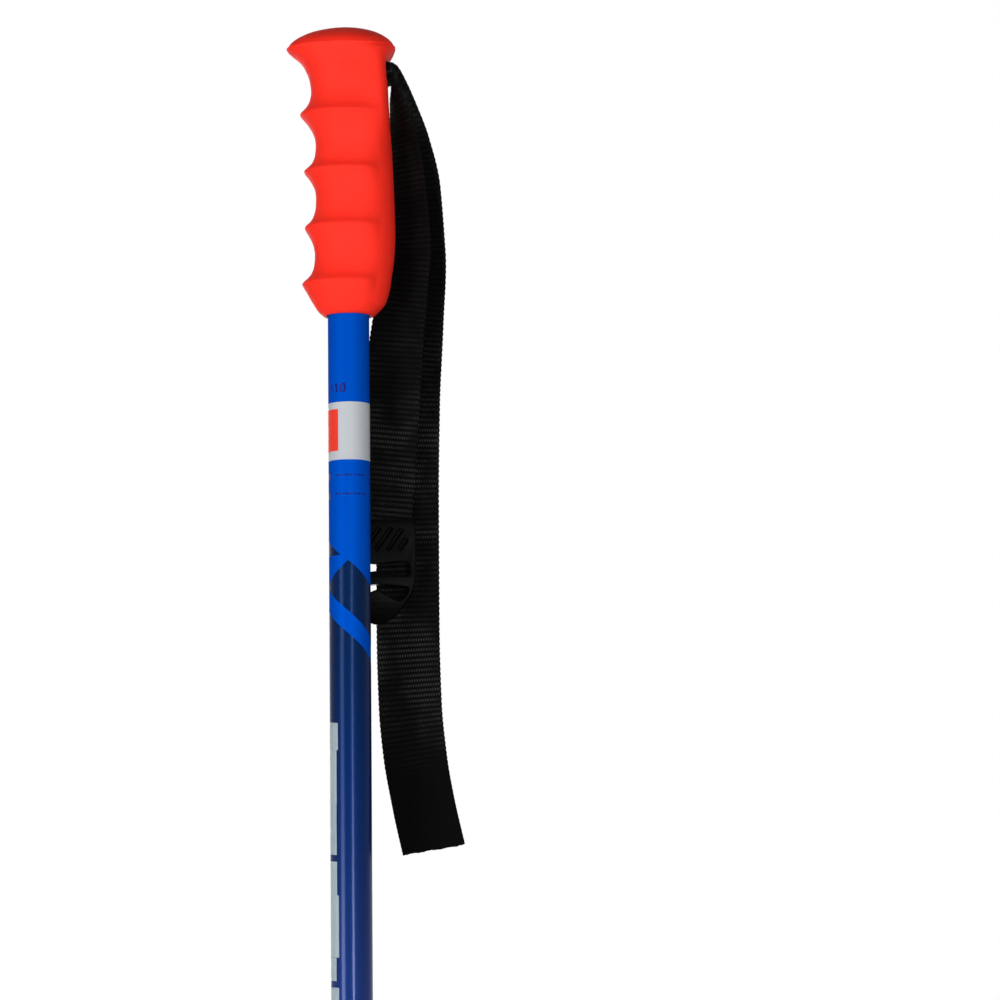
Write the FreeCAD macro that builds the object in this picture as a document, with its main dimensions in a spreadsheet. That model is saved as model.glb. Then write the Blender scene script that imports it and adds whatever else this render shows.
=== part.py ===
"""An alpine ski pole: tapered tube, moulded finger grip, wrist strap with its buckle, basket and steel tip.

Millimetres. The origin is the point of the tip, on the axis of the tube. +Z runs up the tube, +X runs
to the back of the grip, where the strap comes out, and the strap hangs beyond the tube on the +Y side.
"""

import FreeCAD
import Part
import math
import os
import Sketcher
from FreeCAD import Vector

SIZES = (
    ("overall_length", 1100.0, "from the point of the tip to the top of the grip"),
    ("shaft_diameter", 16.0, "outside of the tube at the grip"),
    ("shaft_wall", 1.2, "wall of the tube"),
    ("shaft_end_diameter", 10.4, "outside of the tube at its lower end"),
    ("taper_length", 420.0, "length of the tapered lower stretch of the tube"),
    ("grip_length", 113.0, "from the lip of the grip to the top of its head"),
    ("grip_lip", 7.0, "depth of the soft lip below the core"),
    ("lip_clear", 0.15, "gap between the soft lip and the tube"),
    ("lip_wall", 1.4, "wall of the soft lip at its lower edge"),
    ("shaft_fit", 0.05, "gap between the tube and the pieces glued to it"),
    ("core_wall", 1.8, "wall of the hard core round the tube"),
    ("core_head_reach", 2.5, "how far the core's head stands past its sleeve, front and back"),
    ("core_side_wall", 1.5, "wall of the core beside the strap slot"),
    ("core_web", 4.0, "solid core above and below the strap slot"),
    ("mould_fit", 0.02, "gap between the core and the soft body moulded over it"),
    ("groove_skin", 2.15, "soft body over the core in the deepest finger groove"),
    ("side_skin", 1.4, "soft body over the core beside the strap slot"),
    ("head_length", 42.4, "head of the grip, front to back"),
    ("head_width", 37.0, "head of the grip, side to side"),
    ("head_height", 8.2, "from the rim of the head to its top"),
    ("webbing_width", 25.0, "width of the strap"),
    ("webbing_thickness", 1.4, "thickness of the strap"),
    ("slot_drop", 18.0, "from the top of the grip to the middle of the strap slot"),
    ("slot_side", 0.4, "gap beside the strap in its slot"),
    ("slot_clear", 0.5, "gap above and below the strap in its slot"),
    ("strap_gap", 0.1, "gap between the strap and what it is wrapped round in the grip"),
    ("pin_diameter", 4.0, "strap pin"),
    ("pin_place", 5.0, "strap pin, behind the axis of the tube"),
    ("pin_fit", 0.03, "gap round the strap pin in its holes"),
    ("strap_mouth", 2.6, "where the strap starts to hang, behind the grip at its slot"),
    ("hang_gap", 0.5, "gap between the fixed and the hanging strap"),
    ("buckle_width", 30.0, "buckle, side to side"),
    ("buckle_depth", 4.4, "frame of the buckle, front to back"),
    ("buckle_room", 2.6, "gap between the tube and the front of the buckle"),
    ("plate_thickness", 1.8, "thumb plate of the buckle"),
    ("bar_diameter", 2.4, "round bar that the strap is sewn round"),
    ("bar_gap", 0.3, "gap round the bar inside the sewn strap"),
    ("plate_gap", 0.5, "gap between the thumb plate and the strap at the bar"),
    ("sewn_gap", 0.25, "gap between the two sewn layers of the strap"),
    ("stitch_thickness", 0.35, "rows of thread standing on the strap"),
    ("ferrule_bottom", 7.5, "lower face of the ferrule above the point of the tip"),
    ("ferrule_top", 98.0, "upper end of the ferrule above the point of the tip"),
    ("shaft_seat", 38.0, "lower end of the tube above the point of the tip"),
    ("ferrule_wall", 1.05, "wall of the ferrule at its upper end"),
    ("seat_wall", 2.0, "wall of the ferrule under the basket"),
    ("seat_bottom", 60.0, "lower end of the basket's seat above the point of the tip"),
    ("seat_length", 12.0, "length of the basket's seat"),
    ("basket_fit", 0.07, "running gap round the basket's seat"),
    ("basket_play", 0.2, "gap above and below the basket's hub"),
    ("basket_diameter", 60.0, "basket"),
    ("tip_diameter", 5.0, "steel tip"),
    ("tip_length", 26.0, "steel tip, with the stretch inside the ferrule"),
    ("stem_diameter", 4.0, "the tip's stem, pressed into the ferrule"),
)
RIDGES = 4  # finger ridges on the front of the grip
BASKET_WINDOWS = 6


class Dim:
    """A size in millimetres, with the sheet expression that gives it."""

    def __init__(self, value, text):
        self.value = float(value)
        self.text = text

    def __add__(self, other):
        other = as_dim(other)
        return Dim(self.value + other.value, f"({self.text} + {other.text})")

    def __sub__(self, other):
        other = as_dim(other)
        return Dim(self.value - other.value, f"({self.text} - {other.text})")

    def __mul__(self, other):
        other = as_dim(other)
        return Dim(self.value * other.value, f"({self.text} * {other.text})")

    def __truediv__(self, other):
        other = as_dim(other)
        return Dim(self.value / other.value, f"({self.text} / {other.text})")

    def __radd__(self, other):
        return as_dim(other) + self

    def __rsub__(self, other):
        return as_dim(other) - self

    def __neg__(self):
        return as_dim(0) - self


def as_dim(number):
    return number if isinstance(number, Dim) else Dim(number, f"({number})")


class Names:
    """Sizes by name."""


def write_sheet(doc):
    """The driving sizes, one row each: name, value, meaning."""
    sheet = doc.addObject("Spreadsheet::Sheet", "Sizes")
    sizes = Names()
    for row, (name, value, meaning) in enumerate(SIZES, start=1):
        sheet.set(f"A{row}", name)
        sheet.set(f"B{row}", str(value))
        sheet.set(f"C{row}", meaning)
        sheet.setAlias(f"B{row}", name)
    doc.recompute()
    for name, _, _ in SIZES:
        setattr(sizes, name, Dim(sheet.get(name), f"Sizes.{name}"))
    return sizes


def work_out(s):
    """Places that several pieces share."""
    p = Names()
    p.top = s.overall_length
    p.shaft_r = s.shaft_diameter / 2
    p.end_r = s.shaft_end_diameter / 2
    p.grip_bottom = p.top - s.grip_length
    p.core_bottom = p.grip_bottom + s.grip_lip
    p.core_r = p.shaft_r + s.shaft_fit + s.core_wall
    p.slot_z = p.top - s.slot_drop
    p.bend_in = s.pin_diameter / 2 + s.strap_gap
    p.bend_out = p.bend_in + s.webbing_thickness
    p.slot_half = p.bend_out + s.slot_clear
    p.slot_low = p.slot_z - p.slot_half
    p.slot_high = p.slot_z + p.slot_half
    p.slot_width = s.webbing_width + s.slot_side * 2
    p.shaft_top = p.slot_low - s.core_web - 2
    p.core_head_low = p.slot_low - s.core_web
    p.core_head_high = p.slot_high + s.core_web
    p.core_head_a = p.core_r + s.core_head_reach
    p.core_head_b = p.slot_width / 2 + s.core_side_wall
    p.grip_half = p.core_head_b + s.side_skin
    p.grip_back = p.core_r + 6
    p.hang_x = p.grip_back + s.strap_mouth
    p.buckle_front = p.shaft_r + s.buckle_room
    p.wrap_r = s.bar_diameter / 2 + s.bar_gap + s.webbing_thickness / 2
    p.bar_y = p.buckle_front + s.plate_thickness + s.plate_gap + s.webbing_thickness / 2 + p.wrap_r
    p.bar_z = p.top - SHORT_LEG[-1][2]
    p.buckle_x = p.hang_x + SHORT_LEG[-1][0]
    p.seat_top = s.seat_bottom + s.seat_length
    p.seat_r = tube_radius(s, p, p.seat_top) + s.seat_wall
    return p


def tube_radius(s, p, height):
    """Outside radius of the tube at a height on its tapered stretch."""
    return p.end_r + (p.shaft_r - p.end_r) * (height - s.shaft_seat) / s.taper_length


def new_body(doc, name):
    body = doc.addObject("PartDesign::Body", name)
    body.Label = name
    return body


def sketch_on(body, name, role, offset=None):
    """A sketch on one of the body's own origin planes, moved along its normal by offset."""
    sketch = body.newObject("Sketcher::SketchObject", name)
    plane = next(f for f in body.Origin.OriginFeatures if f.Role == role)
    sketch.AttachmentSupport = [(plane, "")]
    sketch.MapMode = "FlatFace"
    if offset is not None:
        sketch.setExpression("AttachmentOffset.Base.z", offset.text)
    return sketch


def hold(sketch, kind, element, point, size):
    """Ties one coordinate of a point to the sheet. A point at 0 is put on the axis."""
    if abs(size.value) < 1e-9:
        axis = -2 if kind == "DistanceX" else -1
        sketch.addConstraint(Sketcher.Constraint("PointOnObject", element, point, axis))
        return
    index = sketch.addConstraint(Sketcher.Constraint(kind, -1, 1, element, point, size.value))
    sketch.setExpression(f"Constraints[{index}]", size.text)


def polygon(sketch, points):
    """A closed outline of straight sides through (across, up) points."""
    points = [(as_dim(x), as_dim(y)) for x, y in points]
    first = sketch.GeometryCount
    spots = [Vector(x.value, y.value, 0) for x, y in points]
    for i, spot in enumerate(spots):
        sketch.addGeometry(Part.LineSegment(spot, spots[(i + 1) % len(spots)]), False)
    for i in range(len(points)):
        after = first + (i + 1) % len(points)
        sketch.addConstraint(Sketcher.Constraint("Coincident", first + i, 2, after, 1))
    for i, (x, y) in enumerate(points):
        hold(sketch, "DistanceX", first + i, 1, x)
        hold(sketch, "DistanceY", first + i, 1, y)


def rectangle(sketch, low, high):
    (x0, y0), (x1, y1) = low, high
    polygon(sketch, [(x0, y0), (x1, y0), (x1, y1), (x0, y1)])


def circle(sketch, x, y, radius):
    x, y, radius = as_dim(x), as_dim(y), as_dim(radius)
    middle = Vector(x.value, y.value, 0)
    element = sketch.addGeometry(Part.Circle(middle, Vector(0, 0, 1), radius.value), False)
    hold(sketch, "DistanceX", element, 3, x)
    hold(sketch, "DistanceY", element, 3, y)
    index = sketch.addConstraint(Sketcher.Constraint("Radius", element, radius.value))
    sketch.setExpression(f"Constraints[{index}]", radius.text)


def turned(body, name, points):
    """A revolution about Z of an outline of (radius, height) points."""
    sketch = sketch_on(body, name + "_outline", "XZ_Plane")
    polygon(sketch, points)
    feature = body.newObject("PartDesign::Revolution", name)
    feature.Profile = sketch
    feature.ReferenceAxis = (sketch, ["V_Axis"])
    feature.Angle = 360
    return feature


def pad(body, sketch, name, length, both_ways=False, reverse=False):
    feature = body.newObject("PartDesign::Pad", name)
    feature.Profile = sketch
    feature.SideType = "Symmetric" if both_ways else "One side"
    feature.Reversed = reverse
    feature.setExpression("Length", as_dim(length).text)
    return feature


def pocket(body, sketch, name, length, both_ways=False, reverse=False):
    feature = body.newObject("PartDesign::Pocket", name)
    feature.Profile = sketch
    feature.SideType = "Symmetric" if both_ways else "One side"
    feature.Reversed = reverse
    feature.setExpression("Length", as_dim(length).text)
    return feature


def plain_feature(doc, name, shape):
    """A free-form piece, whose shape is worked out here."""
    feature = doc.addObject("Part::Feature", name)
    feature.Label = name
    feature.Shape = shape
    return feature


# --- the tube and what closes it at the top -------------------------------------------------------


def shaft_tube(doc, s, p):
    """Aluminium tube: straight under the grip, tapered towards the tip."""
    body = new_body(doc, "shaft_tube")
    taper_top = s.shaft_seat + s.taper_length
    turned(body, "tube_wall", [
        (p.end_r, s.shaft_seat),
        (p.shaft_r, taper_top),
        (p.shaft_r, p.shaft_top),
        (p.shaft_r - s.shaft_wall, p.shaft_top),
        (p.shaft_r - s.shaft_wall, taper_top),
        (p.end_r - s.shaft_wall, s.shaft_seat),
    ])


def oval(x, a, b, height, power=2.0, count=24):
    """A closed rounded outline about (x, 0): half-lengths a along X and b along Y.

    power 2 is an ellipse, and a higher power squares its shoulders.
    """
    points = []
    for i in range(count):
        turn = 2 * math.pi * i / count
        c, n = math.cos(turn), math.sin(turn)
        reach = (abs(c) ** power + abs(n) ** power) ** (-1 / power)
        points.append(Vector(x + a * c * reach, b * n * reach, height))
    curve = Part.BSplineCurve()
    curve.interpolate(Points=points, PeriodicFlag=True)
    return Part.Wire(curve.toShape())


CORE_HEAD_X = 1.05  # middle of the core's head, behind the axis
NECK_POWER = 2.35  # how square the section of the grip is


def core_head(p, grow):
    """The oval block at the top of the core, grown all round by a gap."""
    low = p.core_head_low.value - grow
    height = p.core_head_high.value + grow - low
    outline = oval(CORE_HEAD_X, p.core_head_a.value + grow, p.core_head_b.value + grow, low, NECK_POWER)
    return Part.Face(outline).extrude(Vector(0, 0, height))


def slot_block(p, from_x):
    """The space of the strap slot, from from_x out through the back of the grip."""
    length = p.grip_back.value + 20 - from_x
    width = p.slot_width.value
    corner = Vector(from_x, -width / 2, p.slot_low.value)
    return Part.makeBox(length, width, p.slot_half.value * 2, corner)


def grip_core(doc, s, p):
    """Hard core: a sleeve glued on the tube, with the head that holds the strap pin."""
    bottom = p.core_bottom.value
    sleeve = Part.makeCylinder(p.core_r.value, p.core_head_low.value + 1 - bottom, Vector(0, 0, bottom))
    core = sleeve.fuse(core_head(p, 0))
    bore_r = p.shaft_r.value + s.shaft_fit.value
    bore_height = p.shaft_top.value + s.shaft_fit.value + 1 - bottom
    bore = Part.makeCylinder(bore_r, bore_height, Vector(0, 0, bottom - 1))
    slot_start = s.pin_place.value - p.bend_out.value - s.slot_clear.value
    pin_r = s.pin_diameter.value / 2 + s.pin_fit.value
    reach = p.core_head_b.value + 5
    hole_start = Vector(s.pin_place.value, -reach, p.slot_z.value)
    hole = Part.makeCylinder(pin_r, reach * 2, hole_start, Vector(0, 1, 0))
    plain_feature(doc, "grip_core", core.cut(bore).cut(slot_block(p, slot_start)).cut(hole))


def strap_pin(doc, s, p):
    """Steel cross pin that the strap goes round. Its ends lie in the core's side walls."""
    body = new_body(doc, "strap_pin")
    sketch = sketch_on(body, "pin_end", "XZ_Plane")
    circle(sketch, s.pin_place, p.slot_z, s.pin_diameter / 2)
    pad(body, sketch, "pin_length", p.slot_width + s.core_side_wall / 2, both_ways=True)


# --- the soft grip ---------------------------------------------------------------------------------

# The back of the palm: share of the grip's length above its lip, and how far it stands past the core.
PALM = (
    (0.0, -0.15), (0.02, 1.95), (0.045, 4.5), (0.09, 6.2), (0.14, 7.2), (0.2, 8.3), (0.27, 8.95),
    (0.37, 8.75), (0.49, 8.05), (0.58, 7.55), (0.68, 6.6), (0.8, 6.15), (0.88, 5.85), (1.0, 5.8),
)
# The sides: share of the grip's length, and share of its full half-width past the lip's.
SIDES = ((0.0, 0.0), (0.03, 0.4), (0.08, 0.72), (0.2, 0.9), (0.5, 0.94), (0.8, 1.0), (1.0, 1.0))
RIDGE_STANDS = (8.15, 6.75, 6.65, 7.75)  # front of each ridge past the core, from the top down
GROOVE_STANDS = (1.7, 0.1, 0.0, 0.9)  # each finger groove above its ridge, past the deepest groove
TOP_RIDGE_DROP = 33.9  # from the top of the grip to the first ridge
LAST_RIDGE_RISE = 12.8  # from the lip of the grip to the last ridge
RIDGE_LEAN = 0.47  # the groove above a ridge, in pitches: each ridge is steeper on its upper side


def along(table, share):
    """Straight interpolation in a table of (share, value) pairs."""
    for (s0, v0), (s1, v1) in zip(table, table[1:]):
        if share <= s1:
            return v0 + (v1 - v0) * (share - s0) / (s1 - s0)
    return table[-1][1]


def grip_section(s, p, height, front):
    """The outline of the grip at a height whose front stands at X = front."""
    share = (height - p.grip_bottom.value) / s.grip_length.value
    back = p.core_r.value + along(PALM, share)
    lip = p.shaft_r.value + s.lip_wall.value
    half = lip + (p.grip_half.value - lip) * along(SIDES, share)
    power = 2 + (NECK_POWER - 2) * min(1.0, share / 0.15)
    return oval((front + back) / 2, (back - front) / 2, half, height, power)


def finger_front(s, p):
    """(height, X) of the front of the grip, from the lip up to the neck under the head."""
    bottom = p.grip_bottom.value
    last = bottom + LAST_RIDGE_RISE
    first = p.top.value - TOP_RIDGE_DROP
    pitch = (first - last) / (RIDGES - 1)
    groove = p.core_r.value + s.groove_skin.value
    lip = p.shaft_r.value + s.lip_wall.value
    fronts = [(bottom, -lip), (bottom + 1.2, -lip - 1.5), (bottom + 5.5, -lip - 4.6)]
    for i in reversed(range(RIDGES)):
        ridge = first - i * pitch
        fronts.append((ridge, -p.core_r.value - RIDGE_STANDS[i]))
        fronts.append((ridge + pitch * RIDGE_LEAN, -groove - GROOVE_STANDS[i]))
    neck = first + pitch * RIDGE_LEAN
    return fronts + [(neck + 3.4, -groove - 2.1), (neck + 6.4, -groove - 3.3)]


# The head's underside: share of the way from the neck to the rim, and share of the overhang there.
FLARE = ((0.35, 0.2), (0.62, 0.47), (0.83, 0.77), (1.0, 1.0))
# The dome: share of the head's height, and share of the rim's reach left there.
DOME = ((0.15, 0.975), (0.43, 0.86), (0.72, 0.64), (0.9, 0.39), (1.0, 0.07))
HEAD_X = -2.0  # middle of the head, behind the axis


def grip_outside(s, p):
    """The whole outer shape: one loft from the lip to the rim of the head, and the dome on it."""
    fronts = finger_front(s, p)
    wires = [grip_section(s, p, height, front) for height, front in fronts]
    neck_height, neck_front = fronts[-1]
    rim = p.top.value - s.head_height.value
    half_length, side = s.head_length.value / 2, s.head_width.value / 2
    neck_back, neck_side = p.grip_back.value, p.grip_half.value
    for rise, reach in FLARE:
        front = neck_front + (HEAD_X - half_length - neck_front) * reach
        back = neck_back + (HEAD_X + half_length - neck_back) * reach
        half = neck_side + (side - neck_side) * reach
        power = NECK_POWER + (2 - NECK_POWER) * reach
        height = neck_height + (rim - neck_height) * rise
        wires.append(oval((front + back) / 2, (back - front) / 2, half, height, power))
    domes = [wires[-1]]
    for rise, reach in DOME:
        height = rim + s.head_height.value * rise
        domes.append(oval(HEAD_X * reach, half_length * reach, side * reach, height))
    return Part.makeLoft(wires, True, False).fuse(Part.makeLoft(domes, True, False))


def grip_body(doc, s, p):
    """Soft grip moulded over the core, with four finger ridges and a flared head."""
    outer = grip_outside(s, p)
    gap = s.mould_fit.value
    bottom = p.grip_bottom.value
    room_height = p.core_head_low.value + 1 - p.core_bottom.value
    room = Part.makeCylinder(p.core_r.value + gap, room_height, Vector(0, 0, p.core_bottom.value - gap))
    lip_r = p.shaft_r.value + s.lip_clear.value
    lip = Part.makeCylinder(lip_r, s.grip_lip.value + 1, Vector(0, 0, bottom - 0.5))
    slot = slot_block(p, s.pin_place.value)
    plain_feature(doc, "grip_body", outer.cut(room).cut(core_head(p, gap)).cut(lip).cut(slot))


# --- the wrist strap -------------------------------------------------------------------------------

# Each leg of the strap, from the slot down. A station is: across from where it starts to hang, share
# of the buckle's (or the long leg's) distance behind the tube, drop from the top of the grip, and turn
# in degrees of the strap's width from side-on to facing front.
LONG_LEG = (
    (0.0, 0.0, 15.2, 0), (1.6, 0.0, 16.4, 2), (2.5, 0.0, 18.7, 4), (4.3, 0.01, 23.4, 7),
    (6.1, 0.04, 31.6, 14), (8.8, 0.13, 43.7, 23), (10.8, 0.28, 63.2, 35), (11.4, 0.46, 86.6, 45),
    (8.8, 0.66, 114.0, 57), (5.6, 0.84, 145.0, 70), (4.4, 0.98, 184.0, 75), (4.7, 1.0, 231.0, 75),
    (5.7, 0.94, 262.0, 75), (7.3, 0.91, 281.6, 75), (10.4, 0.87, 301.0, 76), (14.5, 0.83, 319.7, 77),
)
SHORT_LEG = (
    (-0.4, 0.0, 20.8, 0), (0.2, 0.01, 23.6, 3), (0.8, 0.02, 26.6, 7), (1.8, 0.04, 31.2, 12),
    (2.9, 0.07, 36.3, 18), (4.1, 0.12, 48.0, 27), (5.1, 0.21, 63.2, 34), (4.8, 0.32, 83.0, 42),
    (2.5, 0.45, 102.0, 50), (0.8, 0.55, 114.0, 54), (-2.6, 0.77, 145.0, 65), (-4.3, 0.9, 161.0, 75),
    (-5.4, 1.03, 172.0, 83), (-6.1, 1.09, 178.0, 86), (-6.6, 1.12, 184.0, 89), (-7.2, 1.12, 190.0, 90),
    (-7.8, 1.06, 197.0, 90), (-8.1, 1.0, 203.0, 90),
)
SEWN = 6  # stations of the short leg that the turned-back end lies along, the bar's own included
LAYER_SLACK = (1.6, 0.4, 0.1, 0.0, 0.0)  # extra room between the two layers, from the bar upwards
STITCHED = (3, 4, 5)  # stations with a row of thread, counted up from the bar


def leg_points(p, stations, behind):
    """The stations as (point, turn) pairs, behind being the distance that a share of 1 stands for."""
    return [
        (Vector(p.hang_x.value + across, share * behind, p.top.value - drop), turn)
        for across, share, drop, turn in stations
    ]


def strap_frame(points, i, run=None):
    """The strap's directions at station i: along its run, across its width and out of its face."""
    point, turn = points[i]
    if run is None:
        run = (points[min(i + 1, len(points) - 1)][0] - points[max(i - 1, 0)][0]).normalize()
    angle = math.radians(turn)
    across = Vector(math.sin(angle), -math.cos(angle), 0)
    across = (across - run * across.dot(run)).normalize()
    return run, across, run.cross(across)


def ribbon(s, points, first_run=None, last_run=None):
    """A strap of rectangular section lofted through (point, turn) pairs.

    first_run and last_run set the direction of its ends, which otherwise follow the nearest stations.
    """
    width, thickness = s.webbing_width.value, s.webbing_thickness.value
    set_runs = {0: first_run, len(points) - 1: last_run}
    wires = []
    for i, (point, _) in enumerate(points):
        _, across, face = strap_frame(points, i, set_runs.get(i))
        corners = [
            point + across * (width / 2 * j) + face * (thickness / 2 * k)
            for j, k in ((-1, -1), (1, -1), (1, 1), (-1, 1))
        ]
        wires.append(Part.makePolygon(corners + corners[:1]))
    return Part.makeLoft(wires, True, True)


def long_leg_depth(s, p):
    """How far behind the axis the long leg hangs: clear of the strap wrapped round the buckle's bar."""
    return p.bar_y.value + p.wrap_r.value + s.webbing_thickness.value + 0.9


def short_leg_depth(p):
    """How far behind the axis the short leg reaches the buckle's bar, at the front of the wrap."""
    return p.bar_y.value - p.wrap_r.value


def strap_bend(doc, s, p):
    """The strap inside the slot, bent round the pin, its two ends just out of the mouth."""
    body = new_body(doc, "strap_bend")
    end = p.hang_x + SHORT_LEG[0][0] - s.webbing_thickness / 2 - s.hang_gap
    for name, radius, make in (("outside", p.bend_out, pad), ("inside", p.bend_in, pocket)):
        run = sketch_on(body, name + "_run", "XZ_Plane")
        past = 0 if make is pad else 2
        rectangle(run, (s.pin_place, p.slot_z - radius), (end + past, p.slot_z + radius))
        make(body, run, name + "_straight", s.webbing_width, both_ways=True)
        bend = sketch_on(body, name + "_bend", "XZ_Plane")
        circle(bend, s.pin_place, p.slot_z, radius)
        make(body, bend, name + "_round", s.webbing_width, both_ways=True)


def strap_long_leg(doc, s, p):
    """The long end of the strap: out of the top of the slot, down behind the buckle to its cut end."""
    points = leg_points(p, LONG_LEG, long_leg_depth(s, p))
    plain_feature(doc, "strap_long_leg", ribbon(s, points))


def strap_short_leg(doc, s, p):
    """The short end of the strap, out of the bottom of the slot and down to the buckle's bar."""
    points = leg_points(p, SHORT_LEG, short_leg_depth(p))
    plain_feature(doc, "strap_short_leg", ribbon(s, points, last_run=Vector(0, 0, -1)))


def turned_back_points(s, p):
    """Round the bar from its front, under it, and up behind the short leg."""
    bar = Vector(p.buckle_x.value, p.bar_y.value, p.bar_z.value)
    points = []
    for quarter in range(5):
        angle = math.radians(45 * quarter)
        points.append((bar + Vector(0, -math.cos(angle), -math.sin(angle)) * p.wrap_r.value, 90))
    short = leg_points(p, SHORT_LEG, short_leg_depth(p))[-SEWN:-1]
    layers = s.webbing_thickness.value + s.sewn_gap.value
    for (point, turn), slack in zip(reversed(short), LAYER_SLACK):
        angle = math.radians(turn)
        points.append((point + Vector(math.cos(angle), math.sin(angle), 0) * (layers + slack), turn))
    return points


def strap_turn_back(doc, s, p):
    """The end of the short leg, folded round the buckle's bar and sewn back on itself."""
    points = turned_back_points(s, p)
    plain_feature(doc, "strap_turn_back", ribbon(s, points, first_run=Vector(0, 0, -1)))


STITCH_ROW = 1.2  # height of a row of thread
STITCH_CLEAR = 0.12  # between the thread and the strap's face
STITCH_MARGIN = 2.5  # from the strap's edge to the row's end


def stitch_row(s, points, i, side):
    """One row of thread across the strap at station i, on the face that side points to."""
    point, _ = points[i]
    run, across, face = strap_frame(points, i)
    if face.y * side < 0:
        face = face * -1
    half = s.webbing_width.value / 2 - STITCH_MARGIN
    foot = point + face * (s.webbing_thickness.value / 2 + STITCH_CLEAR)
    corners = [
        foot + across * (half * j) + run * (STITCH_ROW / 2 * k)
        for j, k in ((-1, -1), (1, -1), (1, 1), (-1, 1))
    ]
    return Part.Face(Part.makePolygon(corners + corners[:1])).extrude(face * s.stitch_thickness.value)


def strap_stitching(doc, s, p):
    """Rows of thread across the sewn layers, on the front of the strap and on its turned-back end."""
    short = leg_points(p, SHORT_LEG, short_leg_depth(p))
    back = turned_back_points(s, p)
    rows = [stitch_row(s, short, len(short) - 1 - i, -1) for i in STITCHED]
    rows += [stitch_row(s, back, len(back) - i, 1) for i in range(2, 2 + len(STITCHED) - 1)]
    plain_feature(doc, "strap_stitching", Part.makeCompound(rows))


# --- the buckle ------------------------------------------------------------------------------------

ARM = 2.1  # width of the buckle's side arms
PLATE_TOP, PLATE_FOOT = 12.3, -4.1  # thumb plate above and below the bar
CROSSBAR_TOP, CROSSBAR_FOOT = -10.3, -14.2
FOOT_BAR_TOP, BUCKLE_FOOT = -20.5, -24.8
# Corners where the frame narrows towards its foot: in from its side, and above the bar.
SHOULDER, CHEEK, FOOT = (1.4, -16.2), (5.3, -21.6), (8.1, BUCKLE_FOOT)
PLATE_CORNER = 3.2  # size of the plate's rounded upper corners
EAR_TOP = 3.8  # ears that carry the bar, above and below it


def strap_buckle(doc, s, p):
    """Moulded buckle: thumb plate, round bar in two ears, and a frame with two windows."""
    body = new_body(doc, "strap_buckle")
    x, z = p.buckle_x, p.bar_z
    half = s.buckle_width / 2
    inner = half - ARM
    frame = sketch_on(body, "frame_outline", "XZ_Plane", -p.buckle_front)
    corner = PLATE_CORNER
    right = [
        (half - corner, PLATE_TOP), (half - corner * 0.3, PLATE_TOP - corner * 0.3),
        (half, PLATE_TOP - corner), (half, CROSSBAR_TOP),
    ]
    right += [(half - inset, dz) for inset, dz in (SHOULDER, CHEEK, FOOT)]
    polygon(frame, [(x + dx, z + dz) for dx, dz in right] + [(x - dx, z + dz) for dx, dz in reversed(right)])
    pad(body, frame, "frame", s.buckle_depth, reverse=True)
    lower_sides = ((0.5, CROSSBAR_FOOT), (0.9, SHOULDER[1]), (4.3, FOOT_BAR_TOP))
    windows = (
        ("upper_window", [(inner, PLATE_FOOT), (inner, CROSSBAR_TOP + 0.1)]),
        ("lower_window", [(inner - inset, dz) for inset, dz in lower_sides]),
    )
    for name, side in windows:
        sketch = sketch_on(body, name + "_outline", "XZ_Plane")
        around = [(x + dx, z + dz) for dx, dz in side] + [(x - dx, z + dz) for dx, dz in reversed(side)]
        polygon(sketch, around)
        pocket(body, sketch, name, p.buckle_front * 4, both_ways=True)
    behind = sketch_on(body, "behind_plate_outline", "XZ_Plane", -p.buckle_front - s.plate_thickness)
    rectangle(behind, (x - half - 1, z + EAR_TOP), (x + half + 1, z + PLATE_TOP + 1))
    pocket(body, behind, "behind_plate", 20)
    between = sketch_on(body, "between_ears_outline", "XZ_Plane", -p.buckle_front - s.plate_thickness)
    rectangle(between, (x - inner, z + PLATE_FOOT - 0.1), (x + inner, z + EAR_TOP + 1))
    pocket(body, between, "between_ears", 20)
    ears = sketch_on(body, "ears_outline", "XZ_Plane", -p.buckle_front - s.buckle_depth + 1)
    rectangle(ears, (x + inner, z - EAR_TOP), (x + half, z + EAR_TOP))
    rectangle(ears, (x - half, z - EAR_TOP), (x - inner, z + EAR_TOP))
    ear_depth = p.bar_y + s.bar_diameter / 2 + 0.2 - p.buckle_front - s.buckle_depth + 1
    pad(body, ears, "ears", ear_depth, reverse=True)
    bar = sketch_on(body, "bar_end", "YZ_Plane", x)
    circle(bar, p.bar_y, z, s.bar_diameter / 2)
    pad(body, bar, "bar", inner * 2 + 1, both_ways=True)
    thumb_grooves(body, s, p)


GROOVE_SLOPE = math.radians(52)


def thumb_grooves(body, s, p):
    """Slanted grooves in the front of the thumb plate, clipped to a rounded field."""
    sketch = sketch_on(body, "groove_outlines", "XZ_Plane", -p.buckle_front - 0.5)
    field_x = s.buckle_width.value / 2 - 2.6
    low, high = PLATE_FOOT + 3.2, PLATE_TOP - 3.0
    run = (high - low) / math.tan(GROOVE_SLOPE)
    step = 4.0
    width = 1.3
    count = int((2 * field_x + run) / step)
    for i in range(1, count + 1):
        foot = -field_x - run + i * step
        start = max(foot, -field_x)
        end = min(foot + run, field_x - width)
        if end - start < 1.5:
            continue
        z0 = low + (start - foot) * math.tan(GROOVE_SLOPE)
        z1 = low + (end - foot) * math.tan(GROOVE_SLOPE)
        corners = [(start, z0), (start + width, z0), (end + width, z1), (end, z1)]
        polygon(sketch, [(p.buckle_x + dx, p.bar_z + dz) for dx, dz in corners])
    pocket(body, sketch, "thumb_grooves", 5, reverse=True)


# --- the lower end ---------------------------------------------------------------------------------


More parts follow.
